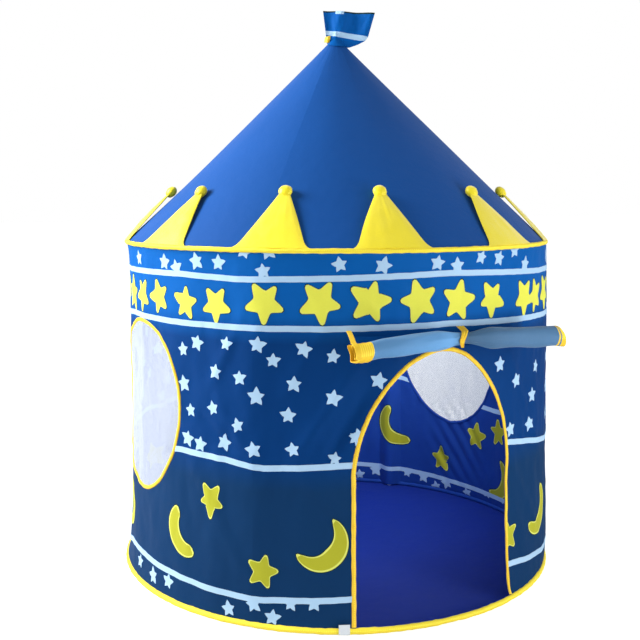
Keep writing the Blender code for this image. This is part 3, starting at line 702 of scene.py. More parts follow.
def tape_material(name, colour, pucker_shade=(0.84, 0.66, 0.30)):
    """Ribbed tape sewn in a tube: ribs across, a stitched line, and painted shade, noise patches darkened
    towards orange for the shade in its puckers.
    """
    made, tree, shader, place = node_set(name)
    uv = place["UV"]
    near = add_maths(tree, "COMPARE", add_node(tree, "SeparateXYZ", {0: uv}, "Y"), *STITCH_LINE)
    thread = add_maths(tree, "MULTIPLY", near, add_wave(tree, uv, STITCH_PITCH, "X"))
    cloud = add_noise(tree, place["Object"], 60.0)
    # Painted shade: patches darkened towards orange
    shade = mix_colours(tree, cloud, scaled(colour, *pucker_shade), (*colour, 1))
    heights = add_maths(tree, "ADD", add_wave(tree, uv, RIB_PITCH, "X"),
                        add_maths(tree, "MULTIPLY", thread, 2.0))
    feed(shader, {"Base Color": mix_colours(tree, thread, shade, scaled(colour, 1.15)), "Roughness": 0.55,
                  "Specular IOR Level": 0.2, "Normal": add_bump(tree, heights, 0.3, TAPE_DEPTH)})
    return made


def net_material(name, colour, open_above=0.30, through_share=0.65):
    """Fine net: threads with holes between them, and light that passes."""
    made, tree, shader, place = node_set(name)
    uv = place["UV"]
    holes = add_maths(tree, "MULTIPLY", *[add_wave(tree, uv, NET_PITCH, way) for way in "XY"])
    cloud = add_noise(tree, place["Object"], 5.0, 2.0)
    shade = mix_colours(tree, cloud, scaled(colour, 0.88), (*colour, 1))
    feed(shader, {"Base Color": shade, "Roughness": 0.7})
    through = add_node(tree, "BsdfTranslucent", {"Color": shade})
    thread = mix_shaders(tree, through_share, shader.outputs[0], through)
    clear = add_node(tree, "BsdfTransparent", {})
    feed(tree.nodes["Material Output"],
         {"Surface": mix_shaders(tree, add_maths(tree, "GREATER_THAN", holes, open_above), thread, clear)})
    return made


def rod_material(name, colour, rough, metallic, streak):
    """Rods, wire and moulded fittings: fine drawn streaks or a moulded grain."""
    made, tree, shader, place = node_set(name)
    grain = add_noise(tree, place["Object"], streak, 4.0, 0.6)
    feed(shader, {"Base Color": mix_colours(tree, grain, scaled(colour, 0.8), (*colour, 1)),
                  "Roughness": rough, "Metallic": metallic,
                  "Normal": add_bump(tree, grain, 0.15, THREAD_DEPTH)})
    return made


# Painted light and shade on the roll: its colour along its length in metres from its left end, as shares of
# the lining's colour, lighter left of the tie, darkest at the tie and darker on the right half
ROLL_PAINTED_LIGHT = ((0.0, 1.0), (0.06, 0.95), (0.14, 1.15), (0.225, 1.35), (0.252, 0.75), (0.262, 0.40),
               (0.30, 0.50), (0.38, 0.62), (0.53, 0.66))
# Painted shade: the yellow ink darkens down from the second height to the first, to these shares of its
# colour, for the dimmer light near the floor
PAINTED_SHADE_HEIGHTS = (0.30, 0.42)
PAINTED_SHADE_SHARES = (0.56, 0.56, 0.30)
FINISHES = {}


def finishes():
    """All the tent's materials, made once."""
    if FINISHES:
        return FINISHES
    colours = bpy.context.scene.tent_colours
    navy, mid, sky, ink = [scaled(colour, 1) for colour in
                           (colours.navy, colours.mid, colours.sky, colours.ink_yellow)]
    zones = ((0.0, navy), (0.29, navy), (0.35, mid), (0.59, mid), (0.65, sky), (1.0, sky))
    shaded_yellow = scaled(colours.ink_yellow, *PAINTED_SHADE_SHARES)
    inks = ((0.0, shaded_yellow), (PAINTED_SHADE_HEIGHTS[0], shaded_yellow), (PAINTED_SHADE_HEIGHTS[1], ink), (1.0, ink))
    painted_roll_light = [(place, scaled(colours.lining, share)) for place, share in ROLL_PAINTED_LIGHT]
    FINISHES.update({
        "print": cloth_material("print_cloth", colours.mid, glow=0.15, zones=zones, sheen=0.0, gloss=0.07),
        "back": cloth_material("print_cloth_back", colours.inner, glow=0.15),
        "pale": ink_material("pale_ink", colours.ink_pale),
        # The yellow ink's ramp paints shade on the lower figures
        "yellow_ink": ink_material("yellow_ink", colours.ink_yellow, inks),
        "rim": ink_material("painted_rim_highlight", colours.painted_rim_highlight),
        # Dark edge: painted shadow round the printed stars and moons; the flag's top row uses it too
        "edge": ink_material("dark_edge", tint(10, 44, 48)),
        "roof": cloth_material("roof_cloth", colours.roof, glow=0.10, vary=0.2),
        "floor": cloth_material("floor_cloth", colours.floor, rough=0.7),
        # The lining's ramp along the roll paints its light and shade
        "lining": cloth_material("roll_lining_painted_light", colours.lining, vary=0.25, sheen=0.2, gloss=0.3,
                                 zones=painted_roll_light, along="UV"),
        "satin": cloth_material("crown_satin", colours.yellow, weave=0.0008, rough=0.42, vary=0.06,
                                sheen=0.4, crease=0.2, gloss=0.4),
        "tape": tape_material("sewn_tape", colours.tape),
        # The hem's painted shade is milder than the bindings'
        "hem": tape_material("hem_tape", colours.hem, (0.92, 0.86, 0.62)),
        # Inside the roll's left end: the binding tape darkened to brown, painted shade
        "hollow": cloth_material("roll_inside_painted_shade", tint(110, 76, 22), crease=0.4),
        "net": net_material("window_net", colours.net),
        "label": cloth_material("label_tape", colours.label, weave=0.0006, crease=0.1),
        "rod": rod_material("fibreglass_rod", tint(196, 200, 204), 0.4, 0.0, 160.0),
        "wire": rod_material("spring_wire", tint(168, 170, 172), 0.32, 1.0, 300.0),
        "fitting": rod_material("moulded_fitting", tint(38, 40, 44), 0.5, 0.0, 90.0),
    })
    return FINISHES


# Print

PALE_INK, YELLOW_INK, PAINTED_SHADOW_EDGE, HIGHLIGHT_RIM = range(4)
INK_LOOKS = ("pale", "yellow_ink", "edge", "rim")
# A star's rings as shares, steps round, notch, rounding turn and narrowness: yellow, then pale
STAR_STYLES = (((0.15, 0.35, 0.60, 0.80, 0.91, 1.0), 60, 0.45, math.radians(8), 0.93),
               ((0.55, 1.0), 30, 0.48, math.radians(5), 1.0))
STAR_SAMPLES = (-1, -0.6, -0.2, 0.2, 0.6, 1)
STAR_UNEVEN = 0.13
# Lift of the painted shadow round a figure, as a share of the ink's lift
SHADOW_LIFT_SHARE = 0.5
MOON_GRID = (36, 10)
# How far the painted shadow reaches round a moon, as a share of its radius
MOON_SHADOW_SHARE = 0.036
MOON_HORN_SHARES = (0.45, 0.85)
MOON_FULL_POWER = 0.8
LINE_STEPS = 180
LINE_LIFT_SHARE = 1.3
LINE_WOBBLE = 0.0006


def star_reach(turn, notch, softness):
    """How far a five pointed star reaches at a turn, its tips and notches rounded."""
    fifth = math.tau / 5
    notch_x = notch * math.cos(fifth / 2)
    notch_y = notch * math.sin(fifth / 2)
    totals = []
    for middle in (turn, 0.0):
        total = 0.0
        for sample in STAR_SAMPLES:
            spot = abs((middle + sample * softness + fifth / 2) % fifth - fifth / 2)
            total += notch_y / (notch_y * math.cos(spot) - (notch_x - 1) * math.sin(spot))
        totals.append(total)
    return totals[0] / totals[1]


def figure_faces(rings, steps):
    """Faces of a figure made of one middle point and rings of points round it."""
    faces = []
    for step in range(steps):
        after = (step + 1) % steps
        faces.append([0, 1 + step, 1 + after])
        for ring in range(rings - 1):
            low = 1 + ring * steps
            high = low + steps
            faces.append([low + step, high + step, high + after, low + after])
    return faces


def lay_print(shell, flats, faces, turn, height, ink, inside, lift, low=-math.inf, high=math.inf):
    """Lay a flat figure on the wall's outside, or its inside, without covering a hole."""
    places = [(turn + across / TENT_RADIUS, min(max(height + up, low), high)) for across, up in flats]
    kept = []
    kept_inks = []
    for face, colour in zip(faces, ink if isinstance(ink, list) else [ink] * len(faces)):
        middle = [sum(values) / len(face) for values in zip(*[places[corner] for corner in face])]
        if not in_hole(*middle):
            kept.append(face[::-1] if inside else face)
            kept_inks.append(colour)
    if kept:
        spot, base = (inner_spot, 0.0) if inside else (wall_spot, CLOTH / 2)
        outer = [spot(*place, base + lift) for place in places]
        inner = [spot(*place, base - lift) for place in places]
        shell.add(outer, inner, kept, kept_inks, [(a * TENT_RADIUS, z) for a, z in places])


def print_star(shells, turn, height, radius, tilt, seed, pale=False, low=-math.inf, high=math.inf):
    """One star on both sides of the cloth; a yellow star has a painted highlight on its rim and a painted
    shadow round its edge.
    """
    shell = shells[panel_of(turn)]
    shares, steps, notch, softness, narrow = STAR_STYLES[pale]
    rule = random.Random(seed)
    arms = [1 + STAR_UNEVEN * rule.uniform(-1, 1) for _ in range(5)]
    flats = [(0.0, 0.0)]
    for share in shares:
        for step in range(steps):
            way = math.tau * step / steps
            near = arms[int(way / math.tau * 5 + 0.5) % 5]
            reach = radius * share * star_reach(way, notch, softness) * near
            flats.append((-narrow * reach * math.sin(way + tilt), reach * math.cos(way + tilt)))
    edge = [(across * SHADOW_GROW, up * SHADOW_GROW) for across, up in flats]
    faces = figure_faces(len(shares), steps)
    lift = sizes().ink_lift
    inks = PALE_INK if pale else ([YELLOW_INK] * (len(shares) - 1) + [HIGHLIGHT_RIM]) * steps
    for inside in (0, 1):
        lay_print(shell, flats, faces, turn, height, inks, inside, lift, low, high)
        if not pale:
            lay_print(shell, edge, faces, turn, height, PAINTED_SHADOW_EDGE, inside, lift * SHADOW_LIFT_SHARE, low, high)


def moon_flats(radius, tilt, thick_share, sweep, blunt, grow=0.0):
    """A crescent as a grid between two arcs, from one rounded horn to the other."""
    long_steps, wide_steps = MOON_GRID
    half_sweep = math.radians(sweep) + grow / radius
    flats = []
    for step in range(long_steps + 1):
        share = step / long_steps
        turn = half_sweep * (2 * share - 1)
        way = Vector((math.cos(turn), math.sin(turn)))
        thick = thick_share * radius * (blunt + (1 - blunt) * math.sin(math.pi * share) ** MOON_FULL_POWER)
        near_end = min(step, long_steps - step)
        rounded = MOON_HORN_SHARES[near_end] if near_end < 2 else 1.0
        reach = (thick / 2 + grow) * rounded
        for side in range(wide_steps + 1):
            spot = way * (radius - thick / 2 + reach * (2 * side / wide_steps - 1))
            spot.rotate(Matrix.Rotation(tilt, 2))
            flats.append((spot.x, spot.y))
    return flats


def print_moon(shells, turn, height, radius, tilt, shape):
    """One crescent on both sides of the cloth; its shape is thickness, sweep and bluntness."""
    shell = shells[panel_of(turn)]
    lift = sizes().ink_lift
    rows, columns = MOON_GRID
    faces = grid_faces(rows, columns)
    # The moon's border cells take the painted rim highlight
    inks = []
    for face in faces:
        row, column = divmod(face[0], columns + 1)
        rim = column in (0, columns - 1) or row in (0, rows - 1)
        inks.append(HIGHLIGHT_RIM if rim else YELLOW_INK)
    flats = moon_flats(radius, tilt, *shape)
    # A slightly larger copy beneath is the painted shadow round the crescent
    edge = moon_flats(radius, tilt, *shape, radius * MOON_SHADOW_SHARE)
    for inside in (0, 1):
        lay_print(shell, flats, faces, turn, height, inks, inside, lift)
        lay_print(shell, edge, faces, turn, height, PAINTED_SHADOW_EDGE, inside, lift * SHADOW_LIFT_SHARE)


def panel_of(turn):
    """The panel that a turn falls on: a quarter of the round each, from the left one on."""
    return list(PANELS)[int((math.degrees(turn) - PANELS["left"]) % 360 / 90)]


COURSES = {name: sorted(pixel_on_wall(*pixel) for pixel in pixels) for name, pixels in LINE_PIXELS.items()}


def back_tilt(turn):
    """The slope that the lower lines have on the far wall, seen through the doorway."""
    degrees = math.degrees(turn) % 360
    for (low, first), (high, second) in zip(BACK_TILT_SHARES, BACK_TILT_SHARES[1:]):
        if low <= degrees <= high:
            return BACK_TILT * (first + (second - first) * smooth_step(low, high, degrees))
    return 0.0


def line_height(name, turn):
    """Height of a printed line: the seen course, easing into its level height out of view."""
    level = LINE_HEIGHTS[name] + back_tilt(turn) * LINE_TILTS.get(name, 0.0)
    course = COURSES[name]
    turn = turn_gap(turn, CAMERA_TURN) + CAMERA_TURN
    ends = ((course[0][0] - turn, course[0][1]), (turn - course[-1][0], course[-1][1]))
    for past, height in ends:
        if past >= 0:
            return level + (height - level) * (1 - smooth_step(0, LINE_BLEND_TURN, past))
    return on_table(course, turn)


def print_line(shells, name):
    """One pale line all the way round, laid panel by panel on both sides of the cloth."""
    lift = sizes().ink_lift * LINE_LIFT_SHARE
    faces = grid_faces(LINE_STEPS, 2, turned=True)
    for panel, start in PANELS.items():
        flats = []
        for step in range(LINE_STEPS + 1):
            turn = math.radians(start) + PANEL_SPAN * step / LINE_STEPS
            middle = line_height(name, turn)
            wobble = LINE_WOBBLE * noise.noise(Vector((turn * 30, middle * 9, 0)))
            for side in (-0.5, 0.0, 0.5):
                flats.append((turn * TENT_RADIUS, middle + side * LINE_WIDTH + wobble))
        for inside in (0, 1):
            lay_print(shells[panel], flats, faces, 0.0, 0.0, PALE_INK, inside, lift)


def inner_pale_places():
    """Small stars that hang from the lower line where the doorway shows the far wall."""
    places = []
    for column, drop in INNER_PALE_STARS:
        turn = pixel_on_wall(column, INNER_STAR_ROW, True)[0]
        places.append((turn, line_height("lower", turn) - drop))
    return places


def print_pale_star(shells, turn, height, rule):
    """A small star, cut where the trim or a line covers it."""
    high = math.inf
    if height > LINE_HEIGHTS["upper"]:
        high = EAVE_HEIGHT - TRIM_RADIUS
        low = line_height("upper", turn)
    elif height > LINE_HEIGHTS["middle"] - LINE_WIDTH:
        low = line_height("middle", turn)
    else:
        high = line_height("lower", turn)
        low = 2 * HEM_RADIUS
    radius = PALE_STAR_RADIUS * rule.uniform(*PALE_STAR_GROWTH)
    print_star(shells, turn, height, radius, rule.uniform(-0.3, 0.3), rule.random(), True, low, high)


def print_figures(shells):
    """Stars and moons: those seen by their pixels, and the rest by a seeded rule."""
    rule = random.Random(sizes().seed)
    band_turns = []
    for column, row, tilt, radius in BAND_STAR_PIXELS:
        turn, height = pixel_on_wall(column, row)
        band_turns.append(turn)
        print_star(shells, turn, height, radius, math.radians(tilt), column)
    middle = (LINE_HEIGHTS["upper"] + LINE_HEIGHTS["band"]) / 2
    for index in range(int(math.tau / BAND_STAR_PITCH)):
        turn = band_turns[-1] + BAND_STAR_PITCH * (index + 1)
        if turn > band_turns[0] + math.tau - BAND_STAR_PITCH * 0.6:
            break
        height = middle + rule.uniform(-BAND_STAR_SHIFT, BAND_STAR_SHIFT)
        tilt = rule.choice((0.0, 0.6)) + rule.uniform(-0.3, 0.3)
        print_star(shells, turn, height, BAND_STAR_RADIUS, tilt, index)
    for pixels, far in ((LOW_STAR_PIXELS, False), (INNER_STAR_PIXELS, True)):
        for column, row, tilt in pixels:
            place = pixel_on_wall(column, row, far)
            print_star(shells, *place, LOW_STAR_RADIUS, math.radians(tilt), column)
    for pixels, far in ((LOW_MOON_PIXELS, False), (INNER_MOON_PIXELS, True)):
        for column, row, tilt, radius, *shape in pixels:
            tilt = math.pi - math.radians(tilt) if far else math.radians(tilt)
            print_moon(shells, *pixel_on_wall(column, row, far), radius, tilt, shape)
    for place in [pixel_on_wall(*pixel) for pixel in PALE_STAR_PIXELS] + inner_pale_places():
        print_pale_star(shells, *place, rule)
    print_unseen(shells, rule)


def print_unseen(shells, rule):
    """The wall out of the camera's view: the same print, scattered by a seeded rule."""
    first, last = UNSEEN_TURNS
    taken = [pixel_on_wall(*pixel[:2], True) for pixel in INNER_STAR_PIXELS + INNER_MOON_PIXELS]
    taken += inner_pale_places()
    left, right = [pixel_on_wall(column, INNER_STAR_ROW, True)[0] for column in DOORWAY_COLUMNS]
    centre = right + turn_gap(left, right) / 2
    shown = abs(turn_gap(left, right)) / 2

    def take(turn, height, reach):
        """Take a place, if it is out of the doorway's view and clear of those already taken."""
        if DOORWAY_SIGHT[0] < height < DOORWAY_SIGHT[1] and abs(turn_gap(turn, centre)) < shown:
            return False
        for other, level in taken:
            if Vector((turn_gap(turn, other) * TENT_RADIUS, height - level)).length < reach:
                return False
        taken.append((turn, height))
        return True

    for number, spread, heights, reach, seed, moons in UNSEEN_FIGURES:
        for count in range(number):
            turn = first + (last - first) * (count + rule.uniform(*spread)) / number
            height = rule.uniform(*heights)
            if not take(turn, height, reach):
                continue
            if moons and count % 2:
                print_moon(shells, turn, height, MOON_RADIUS, rule.choice(MOON_TILTS), MOON_SHAPE)
            else:
                print_star(shells, turn, height, LOW_STAR_RADIUS, rule.uniform(-0.4, 0.4), seed + count)
    for low, high, number, reach in UNSEEN_PALE:
        for _ in range(number * 3):
            turn = rule.uniform(first, last)
            height = rule.uniform(low, high)
            if take(turn, height, reach):
                print_pale_star(shells, turn, height, rule)
                number -= 1
                if number == 0:
                    break


# Pieces


def set_piece(piece, body, replaced, bend=None):
    """Place a piece on its body; with a bend, it is only baked in place and put on no body, and the bend's
    points are not used.
    """
    if bend:
        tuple(bend[0])
        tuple(bend[1])
        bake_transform(piece)
    else:
        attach(piece, body)
    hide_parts(*replaced)


WALL_TUCK = 0.004
WALL_TOP_TUCK = 0.003
WALL_THINNER = 0.0001
EDGE_REACH_CELLS = 1.5
SLEEVE_GRID = (60, 18)


def wall_grid(shell, start):
    """One panel's cloth, its edge drawn to the doorway's or window's outline."""
    cell = sizes().cell
    low = 2 * HEM_RADIUS - WALL_TUCK
    high = EAVE_HEIGHT - TRIM_RADIUS + WALL_TOP_TUCK
    columns = int(PANEL_SPAN * TENT_RADIUS / cell)
    rows = int((high - low) / cell)

    def spot(row, column):
        return start + PANEL_SPAN * column / columns, low + (high - low) * row / rows

    places = [spot(row, column) for row in range(rows + 1) for column in range(columns + 1)]
    faces = []
    for face in grid_faces(rows, columns):
        row, column = divmod(face[0], columns + 1)
        if not in_hole(*spot(row + 0.5, column + 0.5)):
            faces.append(face)
    used = {}
    for face in faces:
        for corner in face:
            used[corner] = used.get(corner, 0) + 1
    for corner, count in used.items():
        row, column = divmod(corner, columns + 1)
        if not 0 < column < columns or row == rows or count >= (4 if row else 2):
            continue
        turn, height = places[corner]
        for centre, outline in HOLES:
            across = turn_gap(turn, centre) * TENT_RADIUS
            gaps = [(x - across) ** 2 + (z - height) ** 2 for x, z in outline]
            x, z = outline[gaps.index(min(gaps))]
            if min(gaps) < (EDGE_REACH_CELLS * cell) ** 2:
                places[corner] = (centre + x / TENT_RADIUS, z if row else height)
    half = CLOTH / 2 - WALL_THINNER
    outer = [wall_spot(*place, half) for place in places]
    inner = [wall_spot(*place, -half) for place in places]
    shell.add(outer, inner, faces, 0, [(turn * TENT_RADIUS, height) for turn, height in places], 1)


def add_sleeve(shell, leg):
    """The narrow sleeve sewn inside the wall over one leg."""
    rows, columns = SLEEVE_GRID
    half = sizes().sleeve / TENT_RADIUS
    high = EAVE_HEIGHT - SLEEVE_DROP

    def place(row, column):
        height = SLEEVE_FOOT + (high - SLEEVE_FOOT) * row / rows
        turn = leg + half * (2 * column / columns - 1)
        return inner_spot(turn, height, -SLEEVE_CLOTH), inner_spot(turn, height), (turn * TENT_RADIUS, height)

    shell.grid(rows, columns, place, 1)


class TENT_OT_walls(bpy.types.Operator):
    """Make the four printed wall panels with their leg sleeves"""
    bl_idname = "tent.walls"
    bl_label = "Printed walls"

    def execute(self, context):
        shells = {name: Shell() for name in PANELS}
        inks = {name: Shell() for name in PANELS}
        for name, start in PANELS.items():
            wall_grid(shells[name], math.radians(start))
            add_sleeve(shells[name], math.radians(start))
        for name in LINE_HEIGHTS:
            print_line(inks, name)
        print_figures(inks)
        for name, shell in shells.items():
            ink = inks[name].build("wall_print_" + name, INK_LOOKS, flip=False)
            set_piece(ink, "tent", [])
            piece = shell.build("wall_cloth_" + name, ("print", "back"), flip=False)
            set_piece(piece, "tent", ["wall_" + name])
        return {"FINISHED"}


TUBE_STEPS = 12
TUBE_SWELL = 0.045
TUBE_LUMP = 0.11
TUBE_CREASE = 0.05
TUBE_SWAY = 0.0007
TUBE_LUMP_PACE = 55
TUBE_SWAY_PACE = 30
# Half widths and half thicknesses of the trims: shares of the frame's tubes, and metres
HEM_SHARES = (0.93, 0.90)
EAVE_SHARES = (1.02, 1.0)
DOOR_EDGE = (0.0048, 0.0030)
WINDOW_EDGE = (0.0044, 0.0030)


def sewn_tube(name, route, halves, closed, replaced, tape="tape"):
    """A sewn tape tube along a route of (place, outward) pairs, with puckers and a cloth back."""
    wide, thick = halves
    pucker = sizes().pucker
    rings = []
    marks = []
    run = 0.0
    count = len(route)
    for index, (spot, outward) in enumerate(route):
        before = route[index - 1][0] if closed or index else spot
        after = route[(index + 1) % count][0] if closed or index < count - 1 else spot
        along = (after - before).normalized()
        side = along.cross(outward).normalized()
        up = side.cross(along).normalized()
        if index:
            run += (spot - before).length
        lump = noise.noise(spot * TUBE_LUMP_PACE)
        swell = 1 + TUBE_SWELL * math.sin(math.tau * run / pucker) + TUBE_LUMP * lump
        shift = side * (TUBE_SWAY * noise.noise(spot * TUBE_SWAY_PACE + Vector((3, 0, 0))))
        ring = []
        for step in range(TUBE_STEPS):
            turn = math.tau * step / TUBE_STEPS
            crease = 1 + TUBE_CREASE * math.sin(3 * turn + 9 * lump)
            ring.append(spot + shift + side * (wide * swell * crease * math.cos(turn))
                        + up * (thick * swell * math.sin(turn)))
        rings.append(ring)
        marks.append([(run, step / TUBE_STEPS) for step in range(TUBE_STEPS)])
    backed = [int(math.sin(math.tau * (step + 0.5) / TUBE_STEPS) < 0.05) for step in range(TUBE_STEPS)]
    piece = Shell().tube(rings, closed, backed, marks).build(name, (tape, "back"))
    set_piece(piece, "tent", replaced)


def round_route(height, steps=420):
    """A level ring round the tent as (place, outward) pairs."""
    turns = [math.tau * step / steps for step in range(steps)]
    return [(around(turn, WALL_MIDDLE, height), around(turn, 1, 0)) for turn in turns]


def outline_route(points, centre):
    turns = [(centre + across / TENT_RADIUS, up) for across, up in points]
    return [(wall_spot(turn, up), around(turn, 1, 0)) for turn, up in turns]


class TENT_OT_trims(bpy.types.Operator):
    """Make the hem tube, the eave trim and the bindings of doorway and windows"""
    bl_idname = "tent.trims"
    bl_label = "Sewn trims"

    def execute(self, context):
        sewn_tube("hem_tube", round_route(HEM_RADIUS), [HEM_RADIUS * share for share in HEM_SHARES],
                  True, ["base_binding"], "hem")
        sewn_tube("eave_trim", round_route(EAVE_HEIGHT), [TRIM_RADIUS * share for share in EAVE_SHARES],
                  True, ["eave_binding"], "hem")
        sewn_tube("door_edge", outline_route(door_outline(140), 0.0), DOOR_EDGE, False, ["door_binding"])
        for side, turn in WINDOWS.items():
            sewn_tube("window_edge_" + side, outline_route(window_outline(150), turn), WINDOW_EDGE,
                      True, ["window_binding_" + side])
        return {"FINISHED"}


NET_RINGS = 16
NET_STEPS = 72
NET_HALF = 0.00035
NET_SAG = 0.0016


class TENT_OT_nets(bpy.types.Operator):
    """Make the two window nets"""
    bl_idname = "tent.nets"
    bl_label = "Window nets"

    def execute(self, context):
        middle = WINDOW_SILL + WINDOW_HEIGHT / 2
        for side, centre in WINDOWS.items():
            places = [(centre, middle)]
            for ring in range(1, NET_RINGS + 1):
                share = ring / NET_RINGS
                for across, up in window_outline(NET_STEPS):
                    places.append((centre + across * share / TENT_RADIUS, middle + (up - middle) * share))
            outer = []
            inner = []
            marks = []
            for turn, height in places:
                sag = NET_SAG * noise.noise(Vector((turn * 7, height * 5, 2)))
                outer.append(wall_spot(turn, height, NET_HALF + sag))
                inner.append(wall_spot(turn, height, sag - NET_HALF))
                marks.append((turn * TENT_RADIUS, height))
            shell = Shell().add(outer, inner, figure_faces(NET_RINGS, NET_STEPS), 0, marks)
            piece = shell.build("net_sheet_" + side, ["net"], flip=False)
            set_piece(piece, "tent", ["window_net_" + side])
        return {"FINISHED"}


NECK_RADIUS = 0.00605
SLOPE_RUN = WALL_MIDDLE - NECK_RADIUS
ROOF_RISE = NECK_HEIGHT - EAVE_HEIGHT
ROOF_SLOPE = math.atan2(ROOF_RISE, SLOPE_RUN)
ROOF_GRID = (72, 60)
ROOF_CLEAR_SHARE = 0.9
ROOF_SLANT = 0.73
ROOF_HUNG_REACH = 1.02
ROOF_HUNG_POWER = 0.8
# The roof's folds and pleats: height, and paces of their noise round the roof and up it
ROOF_FOLD_RISE = 0.002
ROOF_FOLD_NOISE = (3, 2)
ROOF_PLEAT_RISE = 0.0018
ROOF_PLEAT_NOISE = (13, 1)
# Where pleats start below the neck and end above the eave, as shares, and how fast they grow
NECK_PLEATS = (0.72, 2.2)
EAVE_PLEATS = (0.12, 6)


def roof_spot(turn, share, lift=0.0):
    """A point of the roof, from the eave at share 0 to the neck at share 1."""
    radius = WALL_MIDDLE - SLOPE_RUN * share
    height = EAVE_HEIGHT + ROOF_RISE * share
    belly = math.sin(min(leg_gap(turn) / math.radians(45), 1.0) * math.pi / 2)
    hung = math.sin(math.pi * min(share * ROOF_HUNG_REACH, 1.0)) ** ROOF_HUNG_POWER
    fold = ROOF_FOLD_RISE * wall_noise(turn, share, *ROOF_FOLD_NOISE) * hung
    lift += fold - sizes().roof_sag * belly * hung
    start, growth = NECK_PLEATS
    pleat = smooth_step(start, 1.0, share) * (1 - share) * growth
    end, growth = EAVE_PLEATS
    pleat += (1 - smooth_step(0.0, end, share)) * share * growth
    lift += ROOF_PLEAT_RISE * wall_noise(turn, share, *ROOF_PLEAT_NOISE) * pleat
    return around(turn, radius + lift * math.sin(ROOF_SLOPE), height + lift * math.cos(ROOF_SLOPE))


class TENT_OT_roof(bpy.types.Operator):
    """Make the four plain roof gores"""
    bl_idname = "tent.roof"
    bl_label = "Roof gores"

    def execute(self, context):
        for name, start in PANELS.items():
            self.gore(name, math.radians(start))
        return {"FINISHED"}

    def gore(self, name, start):
        rows, columns = ROOF_GRID
        first = (TRIM_RADIUS + GAP) / ROOF_SLANT * ROOF_CLEAR_SHARE
        slant = math.hypot(SLOPE_RUN, ROOF_RISE)

        def place(row, column):
            share = first + (1 - first) * row / rows
            turn = start + PANEL_SPAN * column / columns
            return (roof_spot(turn, share, CLOTH / 2), roof_spot(turn, share, -CLOTH / 2),
                    (turn * TENT_RADIUS * (1 - share), slant * share))

        piece = Shell().grid(rows, columns, place).build("roof_cloth_" + name, ["roof"], flip=False)
        set_piece(piece, "tent", ["roof_gore_" + name])


CROWN_COUNT = 11
CROWN_WIDTH = 0.150
CROWN_LENGTH = 0.156
CROWN_TIP_WIDTH = 0.026
CROWN_GRID = (30, 20)
CROWN_BOW = (-0.002, 0.003)
CROWN_FOOT_DROP = 0.005
CROWN_FOOT_FLARE = 0.011
CROWN_FLARE_LENGTH = 0.007
CROWN_TIP_COVER = 0.62
CROWN_EDGE = 0.0009
CROWN_PULL = 0.0010
CROWN_PAD = 0.0034
# How full a point is: powers across and along it, and its start and growth along it
CROWN_FULL_POWERS = (0.6, 0.7)
CROWN_FULL_COURSE = (0.12, 0.78)
# Shares of the pad's height that stand out in front and behind, and of the front's crumple
CROWN_FRONT_SHARE = 0.62
CROWN_BACK_SHARE = 0.16
CROWN_CRUMPLE_SHARE = 0.28
BALL_RADIUS = 0.0165
BALL_HALVES = Vector((0.0152, 0.0146, 0.0118))
BALL_GRID = (22, 30)
BALL_PLEATS = 9
BALL_PLEAT_SHARE = 0.09
BALL_LUMP_SHARE = 0.06
BALL_TUCK_SHARE = 0.12
CROWN_SETTLE = math.radians(1.3)


